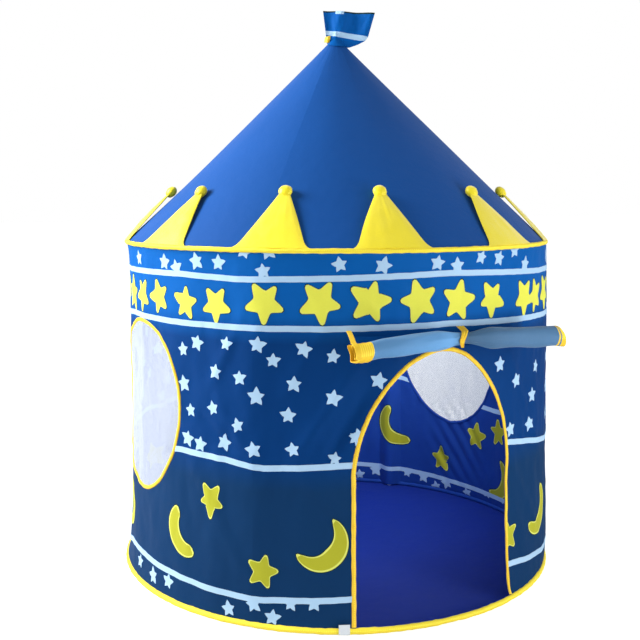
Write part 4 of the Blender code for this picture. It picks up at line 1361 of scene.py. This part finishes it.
class TENT_OT_crown(bpy.types.Operator):
    """Make the padded crown points and their stuffed balls"""
    bl_idname = "tent.crown"
    bl_label = "Crown points"

    def execute(self, context):
        lean = math.asin((BALL_HALVES.z - CROWN_PAD / 2) / CROWN_LENGTH) - CROWN_SETTLE
        tilt = ROOF_SLOPE + lean
        for index in range(CROWN_COUNT):
            label = f"{index + 1:02d}"
            joint = JOINTS["crown_flip_" + label]
            turn = math.atan2(joint["axis"][1], joint["axis"][0])
            ways = (Vector((math.cos(turn), math.sin(turn), 0)),
                    around(turn, -math.cos(tilt), math.sin(tilt)),
                    around(turn, math.sin(tilt), math.cos(tilt)))
            rule = random.Random(100 + index)
            pivot = Vector(joint["pos_m"])
            self.point(label, index, pivot, ways, rule)
            self.ball(label, pivot, ways, rule)
        return {"FINISHED"}

    def point(self, label, index, pivot, ways, rule):
        """A padded triangle along its sewn foot, its ways across, up the slope and outward."""
        across, slope, outward = ways
        rows, columns = CROWN_GRID
        pad = sizes().pad_height
        flap = CROWN_LENGTH - BALL_RADIUS * CROWN_TIP_COVER
        bows = [rule.uniform(*CROWN_BOW) for _ in range(2)]
        power, power_up = CROWN_FULL_POWERS
        start, growth = CROWN_FULL_COURSE
        inward = Vector((pivot.x, pivot.y, 0)).normalized()

        def place(row, column):
            share = row / rows
            side = 2 * column / columns - 1
            along = flap * share - CROWN_FOOT_DROP * (1 - share) ** 6
            half = (CROWN_WIDTH + (CROWN_TIP_WIDTH - CROWN_WIDTH) * share) / 2
            half += CROWN_FOOT_FLARE * math.exp(-share * CROWN_LENGTH / CROWN_FLARE_LENGTH)
            local = max(pivot.xy.length - along * math.cos(ROOF_SLOPE), half * 1.2)
            bow = side ** 3 * bows[side > 0] * math.sin(math.pi * share)
            wide = side * half + bow
            sink = local - math.sqrt(local ** 2 - wide ** 2)
            full = (1 - side ** 2) ** power * math.sin(math.pi * min(start + share * growth, 1)) ** power_up
            crumple = noise.noise(Vector((wide * 38, along * 30, index * 3.1)))
            pull = noise.noise(Vector((side * 5, along * 9, index * 1.7 + 20)))
            swell = pad * CROWN_FRONT_SHARE * full * (1 + CROWN_CRUMPLE_SHARE * crumple)
            rise = CROWN_EDGE + swell + CROWN_PULL * pull * full
            fall = CROWN_EDGE + pad * CROWN_BACK_SHARE * full
            middle = pivot + across * wide + slope * along - inward * sink
            return middle + outward * rise, middle - outward * fall, (wide, along)

        piece = Shell().grid(rows, columns, place).build("crown_pad_" + label, ["satin"], flip=False)
        set_piece(piece, "crown_" + label, ["crown_point_" + label])

    def ball(self, label, pivot, ways, rule):
        """A stuffed ball, wider than it is tall, drawn in at the point's tip."""
        across, slope, outward = ways
        rows, columns = BALL_GRID
        centre = pivot + slope * CROWN_LENGTH
        phase = rule.uniform(0, math.tau)
        rings = []
        for row in range(rows + 1):
            polar = math.pi * (0.02 + 0.96 * row / rows)
            up = math.cos(polar)
            gather = smooth_step(0.2, 1.0, -up)
            ring = []
            for column in range(columns):
                turn = math.tau * column / columns
                pleat = BALL_PLEAT_SHARE * gather * math.cos(BALL_PLEATS * turn + phase)
                lump = noise.noise(Vector((math.cos(turn) * 2, math.sin(turn) * 2, up * 2 + phase)))
                reach = math.sin(polar) * (1 + pleat + BALL_LUMP_SHARE * lump)
                ring.append(centre + across * (reach * math.cos(turn) * BALL_HALVES.x)
                            + outward * (reach * math.sin(turn) * BALL_HALVES.z)
                            + slope * BALL_HALVES.y * (up - BALL_TUCK_SHARE * gather))
            rings.append(ring)
        piece = Shell().tube(rings, False, [0] * columns).build("crown_knob_" + label, ["satin"])
        set_piece(piece, "crown_" + label, ["crown_ball_" + label])


ROLL_AXIS = Vector(JOINTS["door_roll_spin"]["pos_m"])
ROLL_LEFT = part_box("door_roll")[0].x
ROLL_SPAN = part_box("door_roll")[1].x - ROLL_LEFT
ROLL_RADIUS = 0.0245
ROLL_TURNS = 3
ROLL_GRID = (132, 108)
ROLL_START = 0.6
ROLL_CORE = 0.0062
ROLL_CLOTH = 0.0011
ROLL_LIFT = 0.009
ROLL_RISE = 0.0105
ROLL_LEFT_DROP = 0.0045
ROLL_SCALLOP = 0.0016
LEFT_BAND_SHARE = 0.082
RIGHT_BAND_SHARE = 0.046
STRIPE_SHARES = (1.25, 1.6)
BOUND_CLOTH_SHARE = 1.6
# Share of the layers from the core that take the painted shade inside the left end
SHADED_INSIDE_SHARE = 0.55
TIE_PLACE = 0.020
STRAP_PLACE = -0.222
# How far the layers lean in at the left end: all, inner ones more, and a ripple
LEFT_END = (0.005, 0.022, 0.003)
# How far they lean in at the right end: all, the upper side more, and inner ones more
RIGHT_END = (0.014, 0.016, 0.012)
# The roll's girth from its tie to the left and to the right: at the tie, then changes by so
# much between two distances, as shares of the roll's length
LEFT_GIRTH = (0.58, (0.42, 0.0, 0.12), (-0.10, 0.20, 0.40))
RIGHT_GIRTH = (0.50, (0.56, 0.01, 0.15))
# How far from the tie the roll is tight, stands high and drops at its left, as shares of its length
TIGHT_REACH = 0.30
LIFT_REACH = 0.46
DROP_REACH = (0.34, 0.44)
ROLL_FOLD_SHARE = 0.20
ROLL_PLEAT_SHARE = 0.12
ROLL_FLAT_SHARE = 0.10
# The share of the winding at which the outermost layer starts, and how uneven inner ones are
OUTERMOST_START = 0.62
INNER_UNEVEN = 0.25
# How much narrower the left end is, and how much wider the right one
END_GIRTHS = (0.02, 0.03)
STRIP_GRID = (16, 60)
STRIP_HALF = 0.0005
STRIP_CLEAR = 0.0010
STRIP_FOOT_CLEAR = 0.0008
STRIP_WAVE = 0.0012


def roll_girth(share, pinch):
    """The roll's girth along its length: full at the ends, drawn in at the tie."""
    girth, *changes = LEFT_GIRTH if share < pinch else RIGHT_GIRTH
    for change, start, end in changes:
        girth += change * smooth_step(start, end, abs(share - pinch))
    return girth


class TENT_OT_door_roll(bpy.types.Operator):
    """Make the rolled door curtain and the strip it hangs from"""
    bl_idname = "tent.door_roll"
    bl_label = "Rolled curtain"

    def execute(self, context):
        self.roll()
        self.curtain()
        return {"FINISHED"}

    def roll(self):
        """The curtain wound up, drawn in under its tie, with bound ends that lean in."""
        stations, steps = ROLL_GRID
        pinch = (TIE_PLACE - ROLL_LEFT) / ROLL_SPAN

        def place(station, step):
            share = station / stations
            gap = abs(share - pinch)
            tight = 1 - smooth_step(0.0, TIGHT_REACH, gap)
            left_end = max(0.0, 1 - share / LEFT_BAND_SHARE)
            right_end = max(0.0, 1 - (1 - share) / (RIGHT_BAND_SHARE * STRIPE_SHARES[1]))
            bound = share < LEFT_BAND_SHARE
            lift = ROLL_RISE + ROLL_LIFT * (1 - smooth_step(0.0, LIFT_REACH, gap))
            lift -= ROLL_LEFT_DROP * smooth_step(*DROP_REACH, gap) * (share < pinch)
            scallop = ROLL_SCALLOP * abs(math.sin(3 * math.pi * share / LEFT_BAND_SHARE)) * bound
            layer = step / steps
            turn = math.tau * ROLL_TURNS * layer + ROLL_START
            radius = ROLL_CORE + (ROLL_RADIUS - ROLL_CORE - ROLL_CLOTH) * layer
            fold = noise.noise(Vector((math.cos(turn) * 1.5, math.sin(turn) * 1.5, share * 9 + layer)))
            pleat = (math.cos(7 * turn + share * 11) + 0.5 * math.cos(13 * turn)) * ROLL_PLEAT_SHARE * tight
            outermost = smooth_step(OUTERMOST_START, 1.0, layer)
            free = INNER_UNEVEN + (1 - INNER_UNEVEN) * outermost
            uneven = 1 + (ROLL_FOLD_SHARE * fold * (1 - 0.5 * tight) + pleat) * free
            girth = roll_girth(share, pinch) * (1 - END_GIRTHS[0] * left_end + END_GIRTHS[1] * right_end)
            reach = radius * girth * uneven + scallop * outermost
            all_in, inner_in, ripple = LEFT_END
            x = left_end * (all_in + inner_in * (1 - layer) + ripple * math.cos(3 * turn + 1))
            all_in, upper_in, inner_in = RIGHT_END
            upper = 0.5 + 0.5 * math.sin(turn)
            x -= right_end * (all_in + upper_in * upper + inner_in * (1 - layer))
            x += ROLL_SPAN * share
            thick = ROLL_CLOTH * (BOUND_CLOTH_SHARE if bound else 1.0)
            normal = Vector((0, math.cos(turn), math.sin(turn)))
            forward = reach * math.cos(turn) * (1.0 - ROLL_FLAT_SHARE * tight)
            spot = Vector((ROLL_LEFT + x, ROLL_AXIS.y + forward,
                           ROLL_AXIS.z + reach * math.sin(turn) + lift))
            return spot + normal * thick / 2, spot - normal * thick / 2, (x, radius * turn)

        kinds = []
        for face in grid_faces(stations, steps):
            station, step = divmod(face[0], steps + 1)
            share = (station + 0.5) / stations
            left = share < LEFT_BAND_SHARE
            right = (1 - share) / RIGHT_BAND_SHARE
            bound = left or right < 1 or STRIPE_SHARES[0] < right < STRIPE_SHARES[1]
            # Inner layers at the left end get the brown painted shade
            kinds.append(2 if left and step / steps < SHADED_INSIDE_SHARE else int(bound))
        shell = Shell().grid(stations, steps, place, kinds)
        piece = shell.build("curtain_roll", ("lining", "tape", "hollow"))
        set_piece(piece, "door_roll", ["door_roll"])

    def curtain(self):
        """The strip between the seam on the wall and the back of the roll."""
        low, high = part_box("door_curtain")
        rows, columns = STRIP_GRID

        def place(row, column):
            share = row / rows
            side = column / columns
            turn = (2 * side - 1) * DOOR_HALF_WIDTH / TENT_RADIUS
            top = wall_spot(turn, high.z, CLOTH / 2 + STRIP_CLEAR)
            foot = Vector((low.x + (high.x - low.x) * side, -(TENT_RADIUS + GAP + STRIP_FOOT_CLEAR),
                           ROLL_AXIS.z))
            out = around(turn * (1 - share), 1, 0)
            wave = STRIP_WAVE * noise.noise(Vector((side * 14, share, 4))) * share * (1 - share) * 4
            spot = top.lerp(foot, share) + out * wave
            mark = (turn * TENT_RADIUS, high.z - share * (high.z - ROLL_AXIS.z))
            return spot + out * STRIP_HALF, spot - out * STRIP_HALF, mark

        piece = Shell().grid(rows, columns, place, turned=True).build("curtain_strip", ["print"])
        set_piece(piece, "door_curtain_edge", ["door_curtain"],
                  ((0, ROLL_AXIS.y, high.z), (0, ROLL_AXIS.y, ROLL_AXIS.z)))


RIBBON_HALF = 0.0006
RIBBON_COLUMNS = 8
TIE_WIDTH = 0.0215
TIE_GATHER = 0.0009
TIE_RADIUS = 0.0150
TIE_BOW = 0.002
TIE_LENGTH = 0.022
# The tie's sewn end, from its place: aside, out from the wall and up
TIE_START = (0.012, 0.0008, 0.008)
TIE_ASIDE = 0.009
TIE_SLANT = 0.017
TIE_BEND_CLEAR = 0.002
# The turn in degrees at which the tie comes onto the roll, and how far it goes round it
TIE_ARC = (80, 100)
TIE_ARC_STEPS = 12
TIE_HANG_STEPS = 7
STRAP_WIDTH = 0.0135
STRAP_CLEAR = 0.0004
# The strap's sewn end, from its place: aside and up; its loop lies to the other side
STRAP_START = (0.016, 0.007)
STRAP_ASIDE = 0.009
STRAP_SAG = 0.002
STRAP_ARC_STEPS = 9
STRAP_LEAD_STEPS = 6
STRAP_START_TURN = 95


def ribbon_piece(name, line, wide, body, gather=0.0, bend=None):
    """A flat ribbon along a line of (x, y, z, share of width) points."""
    spots = [Vector(point[:3]) for point in line]
    last = len(line) - 1
    runs = [0.0]
    for before, after in zip(spots, spots[1:]):
        runs.append(runs[-1] + (after - before).length)

    def place(row, column):
        x, y, z, share = line[row]
        along = (spots[min(row + 1, last)] - spots[max(row - 1, 0)]).normalized()
        normal = Vector((1, 0, 0)).cross(along).normalized()
        side = 2 * column / RIBBON_COLUMNS - 1
        pleat = gather * math.cos(side * 7 + row * 0.35)
        spot = Vector((x + side * wide / 2 * share, y, z)) - normal * pleat
        return spot - normal * RIBBON_HALF, spot + normal * RIBBON_HALF, (runs[row], side * 0.1 + PLAIN_LINE)

    piece = Shell().grid(last, RIBBON_COLUMNS, place, turned=True).build(name, ["tape"])
    set_piece(piece, body, [body], bend)


class TENT_OT_ribbons(bpy.types.Operator):
    """Make the centre tie and the side strap that hold the roll"""
    bl_idname = "tent.ribbons"
    bl_label = "Ribbons"

    def execute(self, context):
        self.tie()
        self.strap()
        return {"FINISHED"}

    def tie(self):
        """From the wall over the roll's pinch, then hanging down in front of it."""
        low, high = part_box("center_tie")
        middle = ROLL_AXIS.z + ROLL_RISE + ROLL_LIFT * 0.8
        aside, out, up = TIE_START
        line = [(TIE_PLACE + aside, high.y - out, high.z + up, 0.80)]
        for step in range(TIE_ARC_STEPS + 1):
            share = step / TIE_ARC_STEPS
            turn = math.radians(TIE_ARC[0] + TIE_ARC[1] * share)
            x = TIE_PLACE + TIE_ASIDE - TIE_SLANT * share
            line.append((x, ROLL_AXIS.y + TIE_RADIUS * math.cos(turn),
                         middle + TIE_RADIUS * math.sin(turn), 0.78 - 0.22 * share))
        foot = low.z + TIE_LENGTH
        for step in range(1, TIE_HANG_STEPS + 1):
            share = step / TIE_HANG_STEPS
            line.append((x, ROLL_AXIS.y - TIE_RADIUS + TIE_BOW * math.sin(math.pi * share),
                         middle + (foot - middle) * share, 0.56 - 0.26 * share))
        ribbon_piece("center_ribbon", line, TIE_WIDTH, "center_tie", TIE_GATHER,
                     ((0, high.y, high.z), (0, low.y + TIE_BEND_CLEAR, middle)))

    def strap(self):
        """From the wall round the front of the roll's left end."""
        low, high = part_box("side_strap")
        aside, up = STRAP_START
        wall_x = STRAP_PLACE + aside
        wall_y = math.sqrt(WALL_MIDDLE ** 2 - wall_x ** 2) + STRAP_CLEAR
        reach = ROLL_AXIS.y - low.y - STRAP_CLEAR
        x = STRAP_PLACE - STRAP_ASIDE
        arc = []
        for step in range(STRAP_ARC_STEPS + 1):
            turn = math.radians(STRAP_START_TURN * (1 + step / STRAP_ARC_STEPS))
            arc.append((x, ROLL_AXIS.y + reach * math.cos(turn), ROLL_AXIS.z + reach * math.sin(turn), 0.85))
        line = []
        for step in range(STRAP_LEAD_STEPS):
            share = step / STRAP_LEAD_STEPS
            spot = Vector((wall_x, -wall_y, high.z + up)).lerp(Vector(arc[0][:3]), share)
            line.append((spot.x, spot.y, spot.z + STRAP_SAG * math.sin(math.pi * share), 0.8))
        ribbon_piece("side_ribbon", line + arc, STRAP_WIDTH, "side_strap")


FLAG_CENTRE_COLUMN = 339
# The flag's photographed outline as pixels: seven stations across, each from its foot up
FLAG_PIXELS = (
    ((330.5, 44), (329.3, 36), (328.8, 31.5), (326.5, 12)),
    ((332, 47.5), (335, 37), (335, 32.2), (335, 12.3)),
    ((338, 48.5), (342, 38.2), (342, 33), (343, 12.8)),
    ((346, 48.8), (350, 39.5), (350, 34.2), (352, 13.2)),
    ((353, 48.4), (358, 41), (358.5, 35.5), (361, 13.7)),
    ((361, 45.6), (364.5, 42), (366, 36.7), (371, 14.2)),
    ((367.5, 42.3), (368.5, 41.6), (371.3, 38), (378, 14.5)),
)
# Rows of the flag's mesh between each two points of the outline
FLAG_ROWS = (6, 5, 14)
FLAG_COLUMNS = 48
FLAG_HALF = 0.0006
FLAG_WAVE = 0.006
FLAG_WAVE_COURSE = (1.9, 0.6)
FLAG_CRUMPLE = 0.0018
FLAG_FREE_HEIGHT = 0.03
FLAG_CLEAR = 0.0014
FLAG_NOTCH = (1.45, 2.45)
NECK_ROOM = 0.0078
NECK_ROOM_SLOPE = 1.02
NECK_ROOM_HEIGHT = 0.022
TAIL_GRID = (16, 6)
TAIL_FLAT = (0.016, 0.019)
TAIL_NARROWING = 0.006
TAIL_REACH = 0.007
TAIL_LEAN = 0.0025
TAIL_LOOP = 0.004
TAIL_RUN = 0.012
TAIL_PLACE = (-0.021, -0.0062, 1.2905)
ACROSS_WAY = Vector((math.cos(CAMERA_TURN), math.sin(CAMERA_TURN), 0))
BACK_WAY = Vector((-math.sin(CAMERA_TURN), math.cos(CAMERA_TURN), 0))


class TENT_OT_flag(bpy.types.Operator):
    """Make the gathered flag over the roof's tip, and its small ribbon"""
    bl_idname = "tent.flag"
    bl_label = "Flag"

    def spot(self, station, level):
        """A place in the flag's plane, as across and height, from its photographed outline."""
        low = min(int(station), len(FLAG_PIXELS) - 2)
        row = min(int(level), 2)
        corners = []
        for column in (low, low + 1):
            first, second = FLAG_PIXELS[column][row:row + 2]
            corners.append(Vector(first).lerp(Vector(second), level - row))
        pixel = corners[0].lerp(corners[1], station - low)
        metre = CAMERA_DISTANCE / FOCAL_PIXELS
        return (pixel.x - FLAG_CENTRE_COLUMN) * metre, CAMERA_HEIGHT + (HORIZON_ROW - pixel.y) * metre

    def depth(self, across, height):
        """Half the room that the roof's tip needs between the flag's two layers."""
        if height < NECK_HEIGHT:
            room = NECK_ROOM + (NECK_HEIGHT - height) * NECK_ROOM_SLOPE
        else:
            room = NECK_ROOM * max(0.0, 1 - (height - NECK_HEIGHT) / NECK_ROOM_HEIGHT)
        return math.sqrt(max(room ** 2 - across ** 2, 0.0)) + FLAG_CLEAR

    def execute(self, context):
        levels = [part + step / count for part, count in enumerate(FLAG_ROWS) for step in range(count)]
        levels.append(len(FLAG_ROWS))
        last = len(FLAG_PIXELS) - 1
        stations = [column / FLAG_COLUMNS * last for column in range(FLAG_COLUMNS + 1)]
        loop = [(station, -1) for station in stations] + [(last - station, 1) for station in stations]

        pace, start = FLAG_WAVE_COURSE

        def place(level, station, side):
            across, height = self.spot(station, level)
            free = smooth_step(NECK_HEIGHT, NECK_HEIGHT + FLAG_FREE_HEIGHT, height)
            wave = FLAG_WAVE * math.sin(station * pace + start) * free
            wave += FLAG_CRUMPLE * noise.noise(Vector((station * 2, level * 2, 0))) * free
            wave += side * self.depth(across, height)
            middle = ACROSS_WAY * across + Vector((0, 0, height)) + BACK_WAY * wave
            half = BACK_WAY * side * FLAG_HALF
            return middle + half, middle - half, (across, height)

        outer, inner, marks = zip(*[place(level, *spot) for level in levels for spot in loop])
        rows = len(levels) - 1
        faces = grid_faces(rows, len(loop), ring=True)
        kinds = []
        for face in faces:
            row, column = divmod(face[0], len(loop))
            pale = 1 <= (levels[row] + levels[row + 1]) / 2 < 2
            notch = row >= rows - 2 and FLAG_NOTCH[0] < loop[column][0] < FLAG_NOTCH[1]
            kinds.append(1 if pale or notch else 2 if row == rows - 1 else 0)
        shell = Shell().add(outer, inner, faces, kinds, marks)
        piece = shell.build("flag_cloth", ("print", "pale", "edge"))
        set_piece(piece, "flag", ["flag"])
        self.tail()
        return {"FINISHED"}

    def tail(self):
        """The small yellow ribbon at the flag's lower left edge, bent in a loop."""
        rows, columns = TAIL_GRID
        side, back, height = TAIL_PLACE

        def place(row, column):
            share = row / rows
            up = column / columns - 0.5
            across = side + TAIL_REACH * (1 - 2 * share) + TAIL_LEAN * up
            deep = back - TAIL_LOOP * math.sin(math.pi * 1.3 * share)
            rise = up * (TAIL_FLAT[1] - TAIL_NARROWING * share)
            spot = ACROSS_WAY * across + BACK_WAY * deep + Vector((0, 0, height + rise))
            return spot - BACK_WAY * FLAG_HALF, spot + BACK_WAY * FLAG_HALF, (share * TAIL_RUN, PLAIN_LINE)

        piece = Shell().grid(rows, columns, place).build("flag_tail", ["tape"])
        set_piece(piece, "flag", ["flag_ribbon"])


FLOOR_TUCK = 0.0026
FLOOR_RISE = 0.0018
FLOOR_CRUMPLE = 0.0026
FLOOR_THINNER = 0.0002
FLOOR_FREE_SHARE = 0.86
# The floor's creases: two paces of noise, each with its share, and how far they are filled
FLOOR_NOISES = ((6, 0.6), (19, 0.3))
FLOOR_FILL = 0.25
FLOOR_RINGS = 46
FLOOR_STEPS = 132


class TENT_OT_floor_sheet(bpy.types.Operator):
    """Make the tent's floor sheet"""
    bl_idname = "tent.floor_sheet"
    bl_label = "Floor sheet"

    def execute(self, context):
        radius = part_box("floor_sheet")[1].y + FLOOR_TUCK
        spots = [Vector((0, 0, 0))]
        for ring in range(1, FLOOR_RINGS + 1):
            for step in range(FLOOR_STEPS):
                spots.append(around(math.tau * step / FLOOR_STEPS, radius * ring / FLOOR_RINGS, 0))
        outer = []
        for spot in spots:
            free = 1 - smooth_step(FLOOR_FREE_SHARE, 1.0, spot.length / radius)
            crumple = sum(noise.noise(spot * pace) * share for pace, share in FLOOR_NOISES)
            rise = FLOOR_RISE + FLOOR_CRUMPLE * max(crumple + FLOOR_FILL, 0) * free
            outer.append(Vector((spot.x, spot.y, rise)))
        inner = [spot - Vector((0, 0, CLOTH - FLOOR_THINNER)) for spot in outer]
        faces = figure_faces(FLOOR_RINGS, FLOOR_STEPS)
        shell = Shell().add(outer, inner, faces, 0, [tuple(spot.xy) for spot in spots])
        piece = shell.build("floor_cloth_sheet", ["floor"])
        set_piece(piece, "tent", ["floor_sheet"])
        return {"FINISHED"}


LABEL_STEPS = 12
LABEL_FLAT = (0.023, 0.021)
LABEL_HALF = 0.0004
LABEL_CURL = 0.0012


class TENT_OT_label(bpy.types.Operator):
    """Make the blank patch at the hem"""
    bl_idname = "tent.label"
    bl_label = "Blank label"

    def execute(self, context):
        low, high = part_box("label_patch")
        middle = (low + high) / 2
        turn = math.atan2(middle.x, -middle.y)
        thick = around(turn, LABEL_HALF, 0)

        def place(row, column):
            height = low.z + (high.z - low.z) * row / LABEL_STEPS
            across = (column / LABEL_STEPS - 0.5) * LABEL_FLAT[0]
            curl = LABEL_CURL * math.cos(math.pi * row / LABEL_STEPS) * (column / LABEL_STEPS)
            spot = around(turn, middle.xy.length + curl, height) + around(turn + math.pi / 2, across, 0)
            return spot + thick, spot - thick, (across, height)

        piece = Shell().grid(LABEL_STEPS, LABEL_STEPS, place).build("label_blank", ["label"])
        set_piece(piece, "tent", ["label_patch"])
        return {"FINISHED"}


FRAME_LOOKS = {"wall_rod": "rod", "roof_rod": "rod", "elbow": "fitting", "apex_hub": "fitting",
               "base_hoop": "wire", "eave_hoop": "wire"}


class TENT_OT_frame_finish(bpy.types.Operator):
    """Give the rods, fittings and hoops their finishes"""
    bl_idname = "tent.frame_finish"
    bl_label = "Rods and fittings"

    def execute(self, context):
        for name, node in frame["nodes"].items():
            for start, look in FRAME_LOOKS.items():
                if name.startswith(start):
                    node.data.materials.clear()
                    node.data.materials.append(finishes()[look])
        return {"FINISHED"}


# Area lights: place, what they aim at, size in metres and power in watts
LIGHTS = {
    "key": (around(CAMERA_TURN - math.radians(82), 2.5, 2.0), (0, 0, 0.8), 1.3, 150),
    "fill": (around(CAMERA_TURN + math.radians(66), 3.3, 1.5), (0, 0, 0.65), 2.0, 24),
    "low": (around(CAMERA_TURN + math.radians(50), 2.2, 0.3), (0.3, -0.3, 0.1), 0.7, 17),
    "front": (around(CAMERA_TURN - math.radians(4), 4.2, 1.3), (0, 0, 0.65), 2.2, 10),
    "inner": ((0.20, -0.05, 0.74), (-0.20, 0.50, 0.36), 0.4, 7),
}
GROUND_HALF = 30
GROUND_GREY = (0.80, 0.80, 0.80, 1)
GROUND_GLOW = 0.74
STUDIO_TINT = (0.93, 0.96, 1.0, 1)
STUDIO_STRENGTH = 0.40


class TENT_OT_stage(bpy.types.Operator):
    """Make the floor, the lights and the camera"""
    bl_idname = "tent.stage"
    bl_label = "Stage"

    def execute(self, context):
        self.camera()
        self.ground()
        self.world()
        for name, (place, aim, size, power) in LIGHTS.items():
            data = bpy.data.lights.new(name, "AREA")
            data.size = size
            data.energy = power
            made = add_object(name, data)
            made.location = place
            made.rotation_euler = (Vector(aim) - Vector(place)).to_track_quat("-Z", "Y").to_euler()
            made.visible_camera = False
        context.scene.view_settings.view_transform = "Standard"
        return {"FINISHED"}

    def camera(self):
        data = bpy.data.cameras.new("camera")
        data.sensor_width = SENSOR_WIDTH
        data.lens = FOCAL_PIXELS * SENSOR_WIDTH / FRAME_PIXELS
        data.shift_y = CAMERA_SHIFT
        made = add_object("camera", data)
        made.location = CAMERA_PLACE
        made.rotation_euler = (math.radians(90) - CAMERA_PITCH, 0, CAMERA_TURN + CAMERA_YAW)
        bpy.context.scene.camera = made

    def ground(self):
        """A pale floor that the camera alone sees glow, so that it reads as white."""
        bm = bmesh.new()
        bmesh.ops.create_grid(bm, x_segments=2, y_segments=2, size=GROUND_HALF)
        mesh = bpy.data.meshes.new("ground")
        bm.to_mesh(mesh)
        bm.free()
        made = add_object("ground", mesh)
        paint, tree, shader, _ = node_set("ground_paint")
        feed(shader, {"Base Color": GROUND_GREY, "Roughness": 0.9, "Specular IOR Level": 0.1})
        glow = add_node(tree, "Emission", {"Strength": GROUND_GLOW})
        lit = add_node(tree, "AddShader", {0: shader.outputs[0], 1: glow})
        seen = add_node(tree, "LightPath", {}, "Is Camera Ray")
        feed(tree.nodes["Material Output"], {"Surface": mix_shaders(tree, seen, shader.outputs[0], lit)})
        mesh.materials.append(paint)

    def world(self):
        """Soft studio light; straight, mirrored and passing rays see plain white."""
        world = bpy.data.worlds.new("studio")
        bpy.context.scene.world = world
        world.use_nodes = True
        tree = world.node_tree
        light = tree.nodes["Background"]
        feed(light, {"Color": STUDIO_TINT, "Strength": STUDIO_STRENGTH})
        white = add_node(tree, "Background", {"Color": (1, 1, 1, 1)})
        rays = tree.nodes.new("ShaderNodeLightPath").outputs
        shown = add_maths(tree, "MAXIMUM", rays["Is Camera Ray"], rays["Is Glossy Ray"])
        shown = add_maths(tree, "MAXIMUM", shown, rays["Is Transmission Ray"])
        feed(tree.nodes["World Output"], {"Surface": mix_shaders(tree, shown, light.outputs[0], white)})


OPERATORS = (
    TENT_OT_walls, TENT_OT_trims, TENT_OT_nets, TENT_OT_roof, TENT_OT_crown, TENT_OT_door_roll,
    TENT_OT_ribbons, TENT_OT_flag, TENT_OT_floor_sheet, TENT_OT_label, TENT_OT_frame_finish,
    TENT_OT_stage,
)


class TENT_PT_dressing(bpy.types.Panel):
    bl_idname = "TENT_PT_dressing"
    bl_label = "Play Tent"
    bl_space_type = "VIEW_3D"
    bl_region_type = "UI"
    bl_category = "Play Tent"

    def draw(self, context):
        column = self.layout.column(align=True)
        for operator in OPERATORS:
            column.operator(operator.bl_idname)
        for group in (context.scene.tent_sizes, context.scene.tent_colours):
            box = self.layout.box()
            for name in type(group).__annotations__:
                box.prop(group, name)


CLASSES = (TentSizes, TentColours, *OPERATORS, TENT_PT_dressing)


def register():
    for item in CLASSES:
        bpy.utils.register_class(item)
    bpy.types.Scene.tent_sizes = PointerProperty(type=TentSizes)
    bpy.types.Scene.tent_colours = PointerProperty(type=TentColours)


def unregister():
    del bpy.types.Scene.tent_colours
    del bpy.types.Scene.tent_sizes
    for item in reversed(CLASSES):
        bpy.utils.unregister_class(item)


def main():
    register()
    for operator in OPERATORS:
        group, name = operator.bl_idname.split(".")
        getattr(getattr(bpy.ops, group), name)()
    bpy.context.view_layer.update()


if __name__ == "__main__":
    main()
